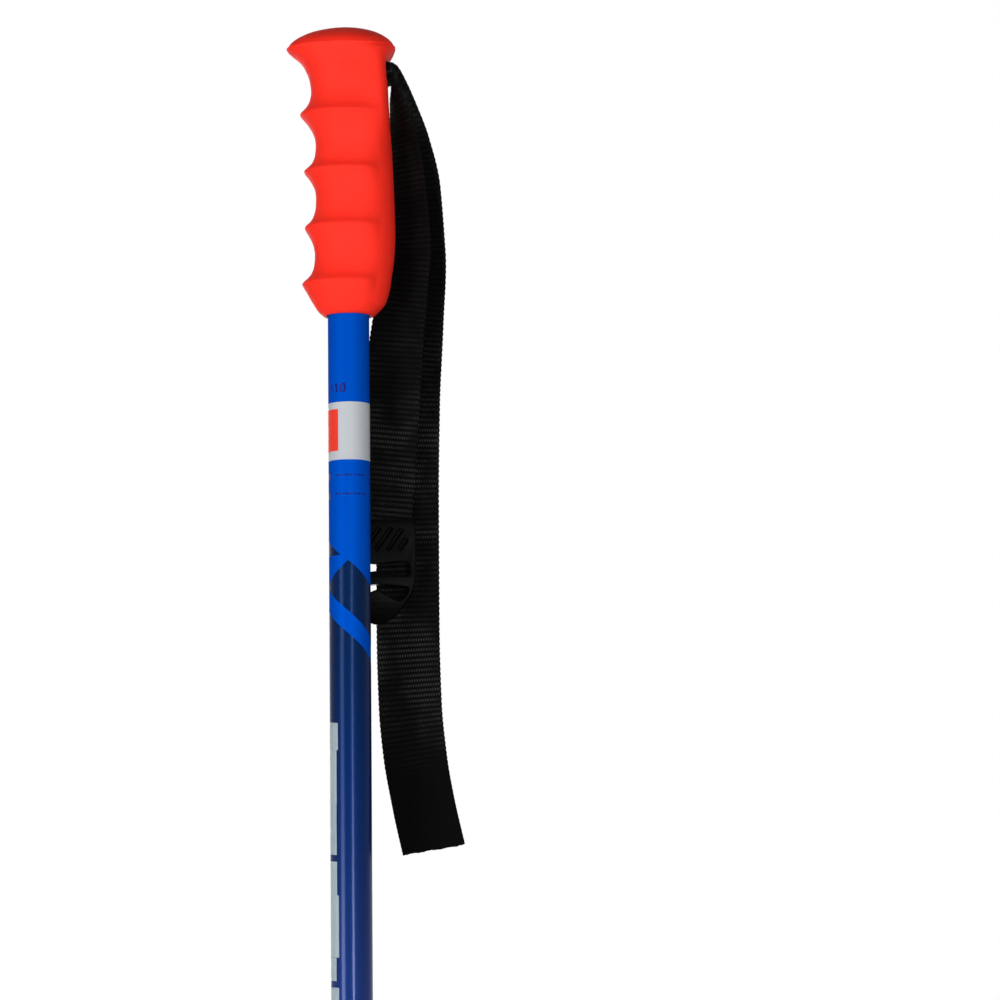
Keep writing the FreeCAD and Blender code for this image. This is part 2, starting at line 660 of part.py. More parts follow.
def tip_ferrule(doc, s, p):
    """Moulded ferrule on the end of the tube, with the bead, seat and shoulder of the basket."""
    body = new_body(doc, "tip_ferrule")
    tip_r = s.tip_diameter / 2
    stem_r = s.stem_diameter / 2 + s.shaft_fit
    bottom = s.ferrule_bottom
    socket = s.tip_length + 0.2
    sleeve_r = tube_radius(s, p, s.ferrule_top) + s.shaft_fit
    turned(body, "ferrule_wall", [
        (stem_r, bottom),
        (tip_r + 1.6, bottom),
        (p.seat_r - 0.4, s.seat_bottom - 10),
        (p.seat_r + 0.6, s.seat_bottom - 2.6),
        (p.seat_r + 0.6, s.seat_bottom - 1.0),
        (p.seat_r, s.seat_bottom - 0.2),
        (p.seat_r, p.seat_top),
        (p.seat_r + 1.5, p.seat_top),
        (p.seat_r + 1.5, p.seat_top + 2.6),
        (p.seat_r + 0.3, p.seat_top + 4.8),
        (sleeve_r + s.ferrule_wall, s.ferrule_top - 0.6),
        (sleeve_r + s.ferrule_wall - 0.6, s.ferrule_top),
        (sleeve_r, s.ferrule_top),
        (p.end_r + s.shaft_fit, s.shaft_seat),
        (0, s.shaft_seat),
        (0, socket),
        (stem_r, socket),
    ])


def tip_insert(doc, s, p):
    """Hard steel tip with a hollow crown, on a stem pressed into the ferrule."""
    body = new_body(doc, "tip_insert")
    radius = s.tip_diameter / 2
    shoulder = s.ferrule_bottom - s.shaft_fit
    turned(body, "tip", [
        (radius - 0.6, 0),
        (radius, 0),
        (radius, shoulder),
        (s.stem_diameter / 2, shoulder),
        (s.stem_diameter / 2, s.tip_length),
        (0, s.tip_length),
        (0, 1.4),
    ])


def basket(doc, s, p):
    """Snow basket: a hub that turns on the ferrule, a thin sloping disc with windows, and a rim."""
    body = new_body(doc, "basket")
    bore = p.seat_r + s.basket_fit
    hub = bore + 2.3
    foot = s.seat_bottom + s.basket_play
    head = p.seat_top - s.basket_play
    rim = s.basket_diameter / 2
    turned(body, "dish", [
        (bore, foot),
        (hub, foot),
        (hub + 0.5, foot + 2.6),
        (rim - 2.0, foot + 0.4),
        (rim - 1.6, foot - 1.0),
        (rim, foot - 1.0),
        (rim, foot + 2.6),
        (rim - 1.8, foot + 2.4),
        (hub + 1.4, foot + 4.6),
        (hub, head),
        (bore, head),
    ])
    inner, outer = hub.value + 3.6, rim.value - 4.2
    sketch = sketch_on(body, "window_outline", "XY_Plane")
    near, far = math.radians(17), math.radians(22)
    corners = [(inner, -near), (outer, -far), (outer + 0.9, 0), (outer, far), (inner, near)]
    polygon(sketch, [(radius * math.cos(turn), radius * math.sin(turn)) for radius, turn in corners])
    window = pocket(body, sketch, "window", s.overall_length / 2, both_ways=True)
    ring = body.newObject("PartDesign::PolarPattern", "windows")
    ring.Originals = [window]
    ring.Axis = (sketch, ["N_Axis"])
    ring.Angle = 360
    ring.Occurrences = BASKET_WINDOWS
    body.Tip = ring


PIECES = (
    shaft_tube,
    grip_core,
    grip_body,
    strap_pin,
    strap_bend,
    strap_long_leg,
    strap_short_leg,
    strap_turn_back,
    strap_stitching,
    strap_buckle,
    tip_ferrule,
    tip_insert,
    basket,
)


def check(doc):
    """Stops on any feature that failed and on any piece that isn't a sound solid."""
    for item in doc.Objects:
        if "Invalid" in item.State or "Error" in item.State:
            raise ValueError(f"{item.Name} failed: {item.State}")
    for make in PIECES:
        shape = doc.getObject(make.__name__).Shape
        if shape.isNull() or not shape.isValid() or not shape.Solids:
            raise ValueError(f"{make.__name__} has no sound shape")


def main():
    doc = FreeCAD.newDocument("ski_pole")
    s = write_sheet(doc)
    p = work_out(s)
    for make in PIECES:
        make(doc, s, p)
    doc.recompute()
    check(doc)
    os.makedirs("parts", exist_ok=True)
    for make in PIECES:
        piece = doc.getObject(make.__name__)
        piece.Shape.exportStep(f"parts/{piece.Label}.step")
        print(piece.Label, len(piece.Shape.Solids), round(piece.Shape.Volume, 1))


main()
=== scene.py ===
# %% [markdown]
# # A ski pole, piece by piece
# An alpine pole is a thin painted tube with a soft grip, a strap of black webbing and a snow basket.
# The imported frame says where every piece sits. Here each one gets its real outline, its edges and its
# finish. Most ride on the body of the frame that they move with; the strap's two hanging legs and the
# pieces kept from the import ride on none. Outlines and tables are in millimetres and
# are multiplied by MM where they become a mesh. The camera, the lamps and the finishes are in metres.

# %% Open the frame
import math

import bmesh
import bpy
import numpy as np
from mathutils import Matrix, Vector


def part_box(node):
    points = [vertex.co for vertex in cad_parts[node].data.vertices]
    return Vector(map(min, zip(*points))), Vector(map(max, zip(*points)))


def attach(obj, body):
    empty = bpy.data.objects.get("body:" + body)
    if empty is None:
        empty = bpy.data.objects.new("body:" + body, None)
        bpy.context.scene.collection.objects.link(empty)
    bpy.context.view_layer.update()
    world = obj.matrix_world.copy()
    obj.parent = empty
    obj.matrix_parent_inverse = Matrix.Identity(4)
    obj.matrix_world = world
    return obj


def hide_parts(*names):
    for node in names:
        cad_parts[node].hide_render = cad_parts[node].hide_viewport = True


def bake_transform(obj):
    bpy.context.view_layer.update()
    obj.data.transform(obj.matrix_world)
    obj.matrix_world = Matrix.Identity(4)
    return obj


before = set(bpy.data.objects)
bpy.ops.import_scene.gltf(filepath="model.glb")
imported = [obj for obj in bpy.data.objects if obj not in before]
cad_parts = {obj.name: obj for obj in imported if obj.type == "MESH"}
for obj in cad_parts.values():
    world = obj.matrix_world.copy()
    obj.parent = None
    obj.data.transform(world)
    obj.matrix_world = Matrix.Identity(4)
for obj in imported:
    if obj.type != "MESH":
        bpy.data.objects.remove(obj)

MM = 0.001
scene = bpy.context.scene
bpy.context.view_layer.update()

# %% [markdown]
# ## The camera
# A long thin thing looks right from far away through a long lens, because its sides then stay parallel. The
# camera looks up at the pole a little. The pole stands left of the middle, so the camera is moved sideways
# and isn't turned, apart from a roll of less than half a degree.

# %% Camera
PITCH = math.radians(8.5)
ROLL = math.radians(-0.39)
DISTANCE = 5.0
VIEW_WIDTH = 0.3852
AIM = Vector((0.0580, 0.0, 0.9150))


def make_camera():
    data = bpy.data.cameras.new("studio_camera")
    data.sensor_width = 36
    data.lens = 36 * DISTANCE / VIEW_WIDTH
    data.clip_end = 50
    camera = bpy.data.objects.new("studio_camera", data)
    scene.collection.objects.link(camera)
    away = Vector((0, math.cos(PITCH), math.sin(PITCH)))
    camera.location = AIM - away * DISTANCE
    camera.rotation_euler = (math.pi / 2 + PITCH, 0, 0)
    camera.rotation_euler.rotate_axis("Z", ROLL)
    scene.camera = camera
    return camera


print("camera at", [round(x, 3) for x in make_camera().location])

# %% [markdown]
# ## Writing materials as sums
# A finish is a small sum: a base colour, plus a little noise, times a mask. Adding nodes by hand hides that
# sum, so a Wire stands for one socket, and Python's own signs add the Math nodes between them.


# %% Wires and finishes
def linear(red, green, blue, alpha=1.0):
    """A colour written as 0 to 255 on a screen, as the renderer wants it."""
    def one(value):
        share = value / 255
        return share / 12.92 if share <= 0.04045 else ((share + 0.055) / 1.055) ** 2.4
    return (one(red), one(green), one(blue), alpha)


class Wire:
    """One socket of a finish, which can be added, taken away, multiplied and raised."""

    def __init__(self, finish, socket):
        self.finish = finish
        self.socket = socket

    def sum(self, operation, *values):
        return self.finish.node("ShaderNodeMath", {"operation": operation}, dict(enumerate(values)))

    def __add__(self, other):
        return self.sum("ADD", self, other)

    def __sub__(self, other):
        return self.sum("SUBTRACT", self, other)

    def __rsub__(self, other):
        return self.sum("SUBTRACT", other, self)

    def __mul__(self, other):
        return self.sum("MULTIPLY", self, other)

    def __truediv__(self, other):
        return self.sum("DIVIDE", self, other)

    def __pow__(self, other):
        return self.sum("POWER", self, other)

    __radd__ = __add__
    __rmul__ = __mul__

    def sine(self):
        return self.sum("SINE", self)

    def size(self):
        return self.sum("ABSOLUTE", self)

    def between(self, low, high):
        """0 below low, 1 above high, and smooth between."""
        names = {"From Min": low, "From Max": high, "Value": self}
        return self.finish.node("ShaderNodeMapRange", {"interpolation_type": "SMOOTHSTEP"}, names)


class Finish:
    """A material with one Principled shader. Fixed values are set on the shader itself."""

    def __init__(self, name, **fixed):
        self.material = bpy.data.materials.new(name)
        self.material.use_nodes = True
        self.tree = self.material.node_tree
        self.shader = self.tree.nodes["Principled BSDF"]
        for key, value in fixed.items():
            self.shader.inputs[key.replace("_", " ").title().replace("Ior", "IOR")].default_value = value

    def put(self, socket, value):
        if isinstance(value, Wire):
            self.tree.links.new(value.socket, socket)
        else:
            socket.default_value = value

    def node(self, kind, settings=None, inputs=None, output=0):
        """Any node: its settings first, then the values or wires of its sockets."""
        made = self.tree.nodes.new(kind)
        for key, value in (settings or {}).items():
            setattr(made, key, value)
        for key, value in (inputs or {}).items():
            self.put(made.inputs[key], value)
        return Wire(self, made.outputs[output]) if len(made.outputs) else made

    def place(self):
        """Where a point of the surface is in the row frame, in metres."""
        return self.node("ShaderNodeTexCoord", output="Object")

    def height(self):
        """How high a point is above the tip, in metres."""
        return self.node("ShaderNodeSeparateXYZ", {}, {0: self.place()}, output="Z")

    def noise(self, size, detail=3.0, stretch=(1, 1, 1), where=None):
        """Soft noise with features of about this size, from 0 to 1."""
        where = where or self.place()
        spread = self.node("ShaderNodeVectorMath", {"operation": "MULTIPLY"}, {0: where, 1: stretch})
        return self.node("ShaderNodeTexNoise", {}, {"Vector": spread, "Scale": 1 / size, "Detail": detail})

    def mix(self, share, first, second):
        """From the first colour to the second."""
        return self.node("ShaderNodeMix", {"data_type": "RGBA"}, {0: share, 6: first, 7: second}, output=2)

    def paint(self, **inputs):
        for key, value in inputs.items():
            self.put(self.shader.inputs[key.replace("_", " ").title()], value)
        return self

    def bump(self, height, distance, strength=1.0):
        named = {"Height": height, "Distance": distance, "Strength": strength}
        self.put(self.shader.inputs["Normal"], self.node("ShaderNodeBump", {}, named))
        return self


print("a mid grey is", round(linear(128, 128, 128)[0], 3))

# %% [markdown]
# ## The studio
# The background is plain white. The world and the floor shine for the rays that show them: the camera's own,
# and those that arrive by a reflection or through something clear. The light that the world sheds on the
# object stays low, so that black webbing stays black. Near the pole the floor keeps part of its own pale
# grey, so that a shadow shows on it, and further off it fades to white.
#
# Two soft boxes stand at the front, a wide one on the left and a narrow one on the right, and each draws a
# soft streak on the round tube. A third fills in the right side and draws no streak, and a fourth stands
# behind. Little light comes from above.


# %% World, floor and lamps
class Air(Finish):
    """The world's nodes, written in the same way as a finish."""

    def __init__(self, name):
        self.world = bpy.data.worlds.new(name)
        self.world.use_nodes = True
        self.tree = self.world.node_tree
        self.tree.nodes.clear()

    def glow(self, strength):
        return self.node("ShaderNodeBackground", {}, {"Color": (1, 1, 1, 1), "Strength": strength})


def shown_rays(tree):
    """1 for the rays that show the background: straight on, in a reflection or through glass."""
    kinds = ("Is Camera Ray", "Is Glossy Ray", "Is Transmission Ray")
    camera, glossy, through = (tree.node("ShaderNodeLightPath", output=kind) for kind in kinds)
    return camera + glossy + through


def make_world():
    air = Air("studio_air")
    scene.world = air.world
    way = air.node("ShaderNodeTexCoord", output="Generated")
    up = air.node("ShaderNodeSeparateXYZ", {}, {0: way}, output="Z")
    low_and_high = {0: up.between(*WORLD_FADE), 1: air.glow(WORLD_ROUND), 2: air.glow(WORLD_ABOVE)}
    light = air.node("ShaderNodeMixShader", {}, low_and_high)
    seen = air.node("ShaderNodeMixShader", {}, {0: shown_rays(air), 1: light, 2: air.glow(1.0)})
    air.node("ShaderNodeOutputWorld", {}, {0: seen})


def make_floor():
    mesh = bpy.data.meshes.new("floor")
    corners = [(x * FLOOR_HALF, y * FLOOR_HALF, 0) for x, y in ((-1, -1), (1, -1), (1, 1), (-1, 1))]
    mesh.from_pydata(corners, [], [(0, 1, 2, 3)])
    floor = bpy.data.objects.new("floor", mesh)
    scene.collection.objects.link(floor)
    finish = Finish("white_floor", base_color=(0.8, 0.8, 0.8, 1), roughness=0.9, specular_ior_level=0.1)
    tree = finish.tree
    out = tree.nodes["Material Output"]
    white = finish.node("ShaderNodeEmission", {}, {"Color": (1, 1, 1, 1), "Strength": 1.0})
    clear = finish.node("ShaderNodeBsdfTransparent")
    away = finish.node("ShaderNodeVectorMath", {"operation": "LENGTH"}, {0: finish.place()}, output="Value")
    whiter = FLOOR_WHITE + away.between(*FLOOR_FADE) * (1 - FLOOR_WHITE)
    below = finish.node("ShaderNodeNewGeometry", output="Backfacing")
    own = Wire(finish, finish.shader.outputs[0])
    top = finish.node("ShaderNodeMixShader", {}, {0: shown_rays(finish) * whiter, 1: own, 2: white})
    both = finish.node("ShaderNodeMixShader", {}, {0: below, 1: top, 2: clear})
    tree.links.new(both.socket, out.inputs["Surface"])
    mesh.materials.append(finish.material)
    floor.location.z = -FLOOR_DROP


def soft_box(name, azimuth, height, distance, width, tall, power, streak=True):
    """A rectangular lamp facing the pole. Azimuth 0 is in front and 90 to the right."""
    data = bpy.data.lights.new(name, "AREA")
    data.shape = "RECTANGLE"
    data.size, data.size_y = width, tall
    data.energy = power
    lamp = bpy.data.objects.new(name, data)
    scene.collection.objects.link(lamp)
    turn = math.radians(azimuth)
    lamp.location = (distance * math.sin(turn), -distance * math.cos(turn), height)
    aim = Vector((0, 0, LAMP_AIM)) - lamp.location
    lamp.rotation_euler = aim.to_track_quat("-Z", "Y").to_euler()
    lamp.visible_glossy = streak


WORLD_ABOVE, WORLD_ROUND = 0.02, 0.15  # strengths of the world's light
WORLD_FADE = (-0.1, 0.48)  # how far up the sky it goes from one to the other
FLOOR_HALF, FLOOR_DROP = 6, 0.0005
FLOOR_WHITE, FLOOR_FADE = 0.62, (0.5, 2.2)  # whiteness at the pole, and where it grows to 1
LAMP_AIM = 0.85
scene.view_settings.view_transform = "Standard"
make_world()
make_floor()
soft_box("left_box", azimuth=-46, height=0.36, distance=2.2, width=0.8, tall=1.9, power=50)
soft_box("right_box", azimuth=11, height=0.33, distance=2.4, width=0.42, tall=1.9, power=49)
soft_box("fill_box", azimuth=42, height=0.5, distance=2.4, width=1.2, tall=1.4, power=9, streak=False)
soft_box("back_box", azimuth=190, height=0.8, distance=2.4, width=1.2, tall=1.4, power=16)

# %% [markdown]
# ## Turning tables of numbers into smooth outlines
# Every piece here starts from a short table: how far out the outline is at a few heights. A curve through
# the table has to stay between its points and never swing past them, or a crisp ridge gets a wave beside it.


# %% Curves through tables, and meshes from rings
def smooth(table):
    """A smooth curve through (place, value) pairs in rising order, which never swings past them."""
    x, y = np.array(table, float).T
    step = np.diff(x)
    slope = np.diff(y) / step
    lean = np.zeros(len(x))
    lean[0], lean[-1] = slope[0], slope[-1]
    for i in range(1, len(x) - 1):
        before, after = slope[i - 1], slope[i]
        if before * after > 0:
            one, two = 2 * step[i] + step[i - 1], step[i] + 2 * step[i - 1]
            lean[i] = (one + two) / (one / before + two / after)

    def at(places):
        places = np.asarray(places, float)
        i = np.clip(np.searchsorted(x, places) - 1, 0, len(step) - 1)
        t = np.clip((places - x[i]) / step[i], 0, 1)
        h = step[i]
        return (
            y[i] * (1 + 2 * t) * (1 - t) ** 2 + lean[i] * h * t * (1 - t) ** 2
            + y[i + 1] * t * t * (3 - 2 * t) + lean[i + 1] * h * t * t * (t - 1)
        )

    return at


def piece(name, points, faces, finish, body=None, sharp=40, flat_map=None):
    """A mesh object in metres, with its finish, that rides on a body of the frame."""
    mesh = bpy.data.meshes.new(name)
    mesh.from_pydata([tuple(p) for p in points], [], faces)
    made = bmesh.new()
    made.from_mesh(mesh)
    bmesh.ops.recalc_face_normals(made, faces=made.faces)
    made.to_mesh(mesh)
    made.free()
    if flat_map is not None:
        layer = mesh.uv_layers.new(name="flat")
        corners = np.zeros(len(mesh.loops), int)
        mesh.loops.foreach_get("vertex_index", corners)
        layer.data.foreach_set("uv", np.asarray(flat_map, float)[corners].ravel())
    mesh.shade_smooth()
    mesh.set_sharp_from_angle(angle=math.radians(sharp))
    made = bpy.data.objects.new(name, mesh)
    scene.collection.objects.link(made)
    mesh.materials.append(finish.material)
    if body:
        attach(made, body)
    return made


def tube_faces(rows, around, ring=False, caps=True):
    """Faces between rows of points. ring joins the last row to the first, as round a torus."""
    faces = []
    for i in range(rows if ring else rows - 1):
        a, b = i * around, (i + 1) % rows * around
        for j in range(around):
            k = (j + 1) % around
            faces.append((a + j, a + k, b + k, b + j))
    if caps and not ring:
        faces.append(tuple(reversed(range(around))))
        faces.append(tuple(range((rows - 1) * around, rows * around)))
    return faces


def lathe(name, outline, finish, body, around=96, closed=False, sharp=40):
    """An outline of (radius, height) pairs in millimetres, turned about the shaft's axis."""
    turns = np.linspace(0, 2 * math.pi, around, endpoint=False)
    points = [(r * MM * math.cos(t), r * MM * math.sin(t), z * MM) for r, z in outline for t in turns]
    faces = tube_faces(len(outline), around, ring=closed)
    return piece(name, points, faces, finish, body, sharp)


print("half way up a step:", float(smooth([(0, 0), (1, 1), (2, 1)])(0.5)))

# %% [markdown]
# ## The shaft's paint
# The tube is drawn aluminium under gloss paint: bright blue at the top, then dark navy that slowly turns
# bluer towards the tip. Under the gloss the paint has a faint grain along the tube, and the lowest part has
# fine scuffs from the snow. The clear coat is thin under the grip and grows thicker downwards, so the streaks
# grow too. The printed bands are thin films on the tube, so each has a crisp edge.


# %% Paint finishes
SCUFFED = (0.1, 0.3)  # heights in metres over which the scuffs fade out
COATED, THIN_COAT = (0.7, 0.87), 0.22  # heights over which the clear coat thins out, and what is left of it
PEARLED, DULL_PEARL = (0.74, 0.86), 0.6  # heights over which the pearl grows, and its share below them


def shaft_paint(name, colour_low, colour_high, low, high, metal, coat, shine):
    """Pearl paint that goes from one colour at the height low to another at the height high."""
    finish = Finish(name, coat_roughness=0.13, specular_ior_level=shine)
    height = finish.height()
    colour = finish.mix(height.between(low, high), colour_low, colour_high)
    cloud = finish.noise(0.02, 2.0, (1, 1, 0.3))
    colour = finish.mix(cloud * 0.16, colour, linear(0, 40, 120))
    scuff = finish.noise(0.0011, 2.0, (1, 1, 0.12)).between(0.66, 0.74) * (1 - height.between(*SCUFFED))
    colour = finish.mix(scuff * 0.5, colour, linear(120, 128, 140))
    grain = finish.noise(0.0006, 2.0, (1, 1, 0.06))
    thicker = (1 - height.between(*COATED)) ** 2
    pearl = DULL_PEARL + height.between(*PEARLED) * (1 - DULL_PEARL)
    finish.paint(base_color=colour, roughness=0.36 + grain * 0.08 + scuff * 0.3, metallic=pearl * metal)
    finish.paint(coat_weight=(THIN_COAT + thicker * (1 - THIN_COAT)) * coat)
    return finish.bump(grain, 0.00002, 0.35)


def print_ink(name, colour, rough=0.35):
    """Screen-printed ink: an even colour with a faint mottle where it lies thinner."""
    finish = Finish(name, coat_weight=0.03, coat_roughness=0.2, specular_ior_level=0.1)
    thin = finish.noise(0.0009, 3.0)
    worn = tuple(c * 0.82 for c in colour[:3]) + (1,)
    finish.paint(base_color=finish.mix(thin * 0.5, colour, worn), roughness=rough + thin * 0.1)
    return finish.bump(thin, 0.00001, 0.3)


blue_paint = shaft_paint(
    "blue_gloss_paint", linear(0, 62, 166), linear(0, 72, 178), low=0.2, high=0.9,
    metal=0.08, coat=0.0, shine=0.0)
navy_paint = shaft_paint(
    "navy_gloss_paint", linear(0, 40, 110), linear(0, 24, 56), low=0.62, high=0.885,
    metal=0.62, coat=0.32, shine=0.02)
pale_ink = print_ink("pale_grey_ink", linear(178, 183, 188))
red_ink = print_ink("red_ink", linear(226, 56, 40))
silver_ink = print_ink("silver_ink", linear(172, 186, 190), 0.3)
dark_ink = print_ink("dark_ink", linear(12, 16, 104))
print("paints", blue_paint.material.name, navy_paint.material.name)

# %% [markdown]
# ## The tube
# One lathe outline, with the wall's inside as well, because the tube is open at its top inside the grip. It
# is straight down to 458 mm and tapers to the ferrule, as most alpine poles do.

# %% Tube
tube_low, tube_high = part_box("shaft_tube")
TUBE_FOOT, TUBE_TOP, TAPER_TOP = tube_low.z / MM, tube_high.z / MM, 458.0
TUBE_R, END_R, WALL = 8.0, 5.2, 1.2


def tube_radius(height):
    """Outside radius of the tube, in millimetres, at a height in millimetres."""
    share = min(1.0, max(0.0, (height - TUBE_FOOT) / (TAPER_TOP - TUBE_FOOT)))
    return END_R + (TUBE_R - END_R) * share


tube_heights = list(np.linspace(TUBE_FOOT, TAPER_TOP, 12)) + list(np.linspace(TAPER_TOP, TUBE_TOP, 12)[1:])
outside = [(tube_radius(z), z) for z in tube_heights]
inside = [(tube_radius(z) - WALL, z) for z in reversed(tube_heights)]
tube = lathe("painted_tube", outside + inside, blue_paint, "pole", closed=True)
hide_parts("shaft_tube")
print("tube from", round(TUBE_FOOT, 1), "to", round(TUBE_TOP, 1), "mm")

# %% [markdown]
# ## Printed films on the tube
# A printed shape is a patch of a thin cylinder whose top and bottom edges are heights that change round the
# tube. Angles are in degrees from the side that faces the camera and grow to the right, where the strap
# hangs. Each film is a closed shell about a tenth of a millimetre thick, sunk a little in the wall, so that
# no edge floats.


# %% Films
FILM = 0.05
BAND_TOP, BAND_FOOT = 952.6, 930.1
BLOCK_TOP, BLOCK_FOOT = 949.9, 933.6
shown_films = []


def film(name, start, end, top, foot, ink, step=3.0, tall=60, rise=FILM):
    """A printed film between two angles and two heights, foot(angle) and top(angle), in rows up to tall."""
    count = max(2, int(abs(end - start) / step) + 1)
    angles = np.linspace(start, end, count)
    full = abs(end - start) >= 359.9
    if full:
        angles = angles[:-1]
    spans = [(foot(a), top(a)) for a in angles]
    rows = max(2, int(max(t - f for f, t in spans) / tall) + 2)
    points = []
    for lift in (rise, -FILM):
        for i in range(rows):
            for angle, (f, t) in zip(angles, spans):
                z = f + (t - f) * i / (rows - 1)
                r = (tube_radius(z) + lift) * MM
                turn = math.radians(angle)
                points.append((r * math.sin(turn), -r * math.cos(turn), z * MM))
    n, shell = len(angles), rows * len(angles)
    faces = []
    last = n if full else n - 1
    for i in range(rows - 1):
        for j in range(last):
            a, b, k = i * n + j, i * n + (j + 1) % n, n
            faces.append((a, b, b + k, a + k))
            faces.append((a + shell, a + k + shell, b + k + shell, b + shell))
    for j in range(last):
        a, b = j, (j + 1) % n
        faces.append((a, a + shell, b + shell, b))
        a, b = a + (rows - 1) * n, b + (rows - 1) * n
        faces.append((a, b, b + shell, a + shell))
    if not full:
        for i in range(rows - 1):
            for j, flip in ((0, False), (n - 1, True)):
                a, b = i * n + j, (i + 1) * n + j
                face = (a, b, b + shell, a + shell)
                faces.append(face[::-1] if flip else face)
    shown_films.append(name)
    return piece(name, points, faces, ink, "pole", 35)


film("pale_band", -180, 180, lambda a: BAND_TOP, lambda a: BAND_FOOT, pale_ink)
film("red_block", -112, -31, lambda a: BLOCK_TOP, lambda a: BLOCK_FOOT, red_ink, rise=FILM * 2)
print("films", shown_films)

# %% [markdown]
# The navy field ends in a peak at the front, and one blue stripe climbs round the tube at about 42 degrees,
# left free between two films. A straight cut edge on paper becomes a line at a steady slope round the tube,
# so every edge here is a height that falls evenly with the angle.

# %% Navy field, stripe and wedges
SLOPE = 0.125  # millimetres of height for each degree round the tube
PEAK_ANGLE, PEAK = -3.4, 891.0
STRIPE_TOP, STRIPE_FOOT = 870.8, 862.0  # the stripe's two edges at the front
NAVY_FOOT, CLOSE_ROWS = 97.4, 14  # rows this close let the film follow the tube where its taper starts


def peak_edge(angle):
    return PEAK - abs(angle - PEAK_ANGLE) * SLOPE


def stripe_top(angle):
    return STRIPE_TOP - angle * SLOPE


def stripe_foot(angle):
    return STRIPE_FOOT - angle * SLOPE


peak_left = (PEAK - STRIPE_TOP - PEAK_ANGLE * SLOPE) / (-2 * SLOPE)
film("navy_peak", peak_left, 176, peak_edge, stripe_top, navy_paint)
film("navy_field_front", -88, 176, stripe_foot, lambda a: NAVY_FOOT, navy_paint, tall=CLOSE_ROWS)
film(
    "navy_field_back", 176, 272, lambda a: 840.0 + (a - 176) * 0.34, lambda a: NAVY_FOOT, navy_paint,
    tall=CLOSE_ROWS)
film("navy_wedge", -150, -27, lambda a: 893.4 + (-27 - a) * 0.11, lambda a: 893.0, navy_paint)
film("blue_fleck", -68, -57, lambda a: 850.6 - (a + 62) * 0.09, lambda a: 849.2, blue_paint)
print("the navy field's left point is at", round(peak_left, 1), "degrees")

# %% [markdown]
# The size of the pole is printed in plain numbers under the grip, in centimetres. Below the band are two
# small marks with fine rules beside them, and down the navy field runs a broken silver line. All of them are
# short films.


# %% Numbers, rules and silver line
def stroke(name, angle, height, wide, tall, ink, lean=0.0):
    """A small upright bar: its middle's angle and height, its width in degrees, and how far it leans."""
    half = wide / 2

    def top(a):
        return height + tall / 2 + (a - angle) * lean

    def foot(a):
        return height - tall / 2 + (a - angle) * lean

    return film(name, angle - half, angle + half, top, foot, ink, step=2.0)


def size_number(angle, height, tall):
    """The number 110, as upright bars and a ring."""
    thick, gap = 4.8, 19.0
    for i in range(2):
        stroke(f"one_{i}", angle + i * gap, height, thick, tall, dark_ink)
        stroke(f"one_flag_{i}", angle + i * gap - thick, height + tall * 0.3, thick, 0.7, dark_ink, 0.12)
    middle, half = angle + gap * 2 - 1, 6.5
    for side in (-1, 1):
        stroke(f"nought_side_{side + 1}", middle + side * half, height, thick, tall * 0.66, dark_ink)
        level = height + side * tall * 0.42
        film(
            f"nought_end_{side + 1}", middle - half, middle + half,
            lambda a, z=level: z + 0.32, lambda a, z=level: z - 0.32, dark_ink)


size_number(-54, 958.1, 3.4)
for row, height in enumerate((923.9, 916.6)):
    stroke(f"small_mark_{row}", -72, height, 20, 2.6, dark_ink)
    for i in range(9):
        stroke(f"rule_{row}_{i}", -36 + i * 10.5, height + 0.2, 7.0 if i % 3 else 9.0, 0.55, dark_ink)
SILVER_TOP, SILVER_EDGE, SILVER_GAP = 828.6, 104, 2.6
# Each silver bar has a length and a right edge. The left edge is the same for all.
SILVER_BARS = ((10.5, -37), (21.0, -42), (19.5, -43), (13.0, -42), (24.0, -36), (9.0, -46))
level = SILVER_TOP
for i, (length, edge) in enumerate(SILVER_BARS * 2):
    middle = (edge - SILVER_EDGE) / 2
    stroke(f"silver_bar_{i}", middle, level - length / 2, edge + SILVER_EDGE, length, silver_ink, -0.02)
    level -= length + (SILVER_GAP if i % 3 == 2 else 0.0)
print("silver line down to", round(level, 1), "mm;", len(shown_films), "films in all")

# %% [markdown]
# ## The grip
# The grip is soft rubber moulded over a hard core. Its front has four finger ridges, each steep on its upper
# side and slow on its lower side, and the ridges run round both sides and fade out at the back. The grip's
# front faces left, and its back, where the strap comes out, faces right. The head is
# a shallow dome with a thin rim that flares out over the fingers. A loft fits this: rings at many heights,
# each an oval squared a little at its shoulders, whose front, back and half-width come from three tables.

# %% Rubber
rubber = Finish("soft_red_rubber", specular_ior_level=0.12)
stain = rubber.noise(0.012, 3.0)
fine = rubber.noise(0.00035, 3.0)
red = rubber.mix(stain * 0.55, linear(252, 50, 34), linear(240, 38, 24))
red = rubber.mix(fine * 0.16, red, linear(208, 26, 16))
rubber.paint(base_color=red, roughness=0.58 + stain * 0.08 + fine * 0.06)
rubber.bump(fine + rubber.noise(0.0014, 2.0) * 0.6, 0.00006, 0.5)
print("rubber", rubber.material.name)

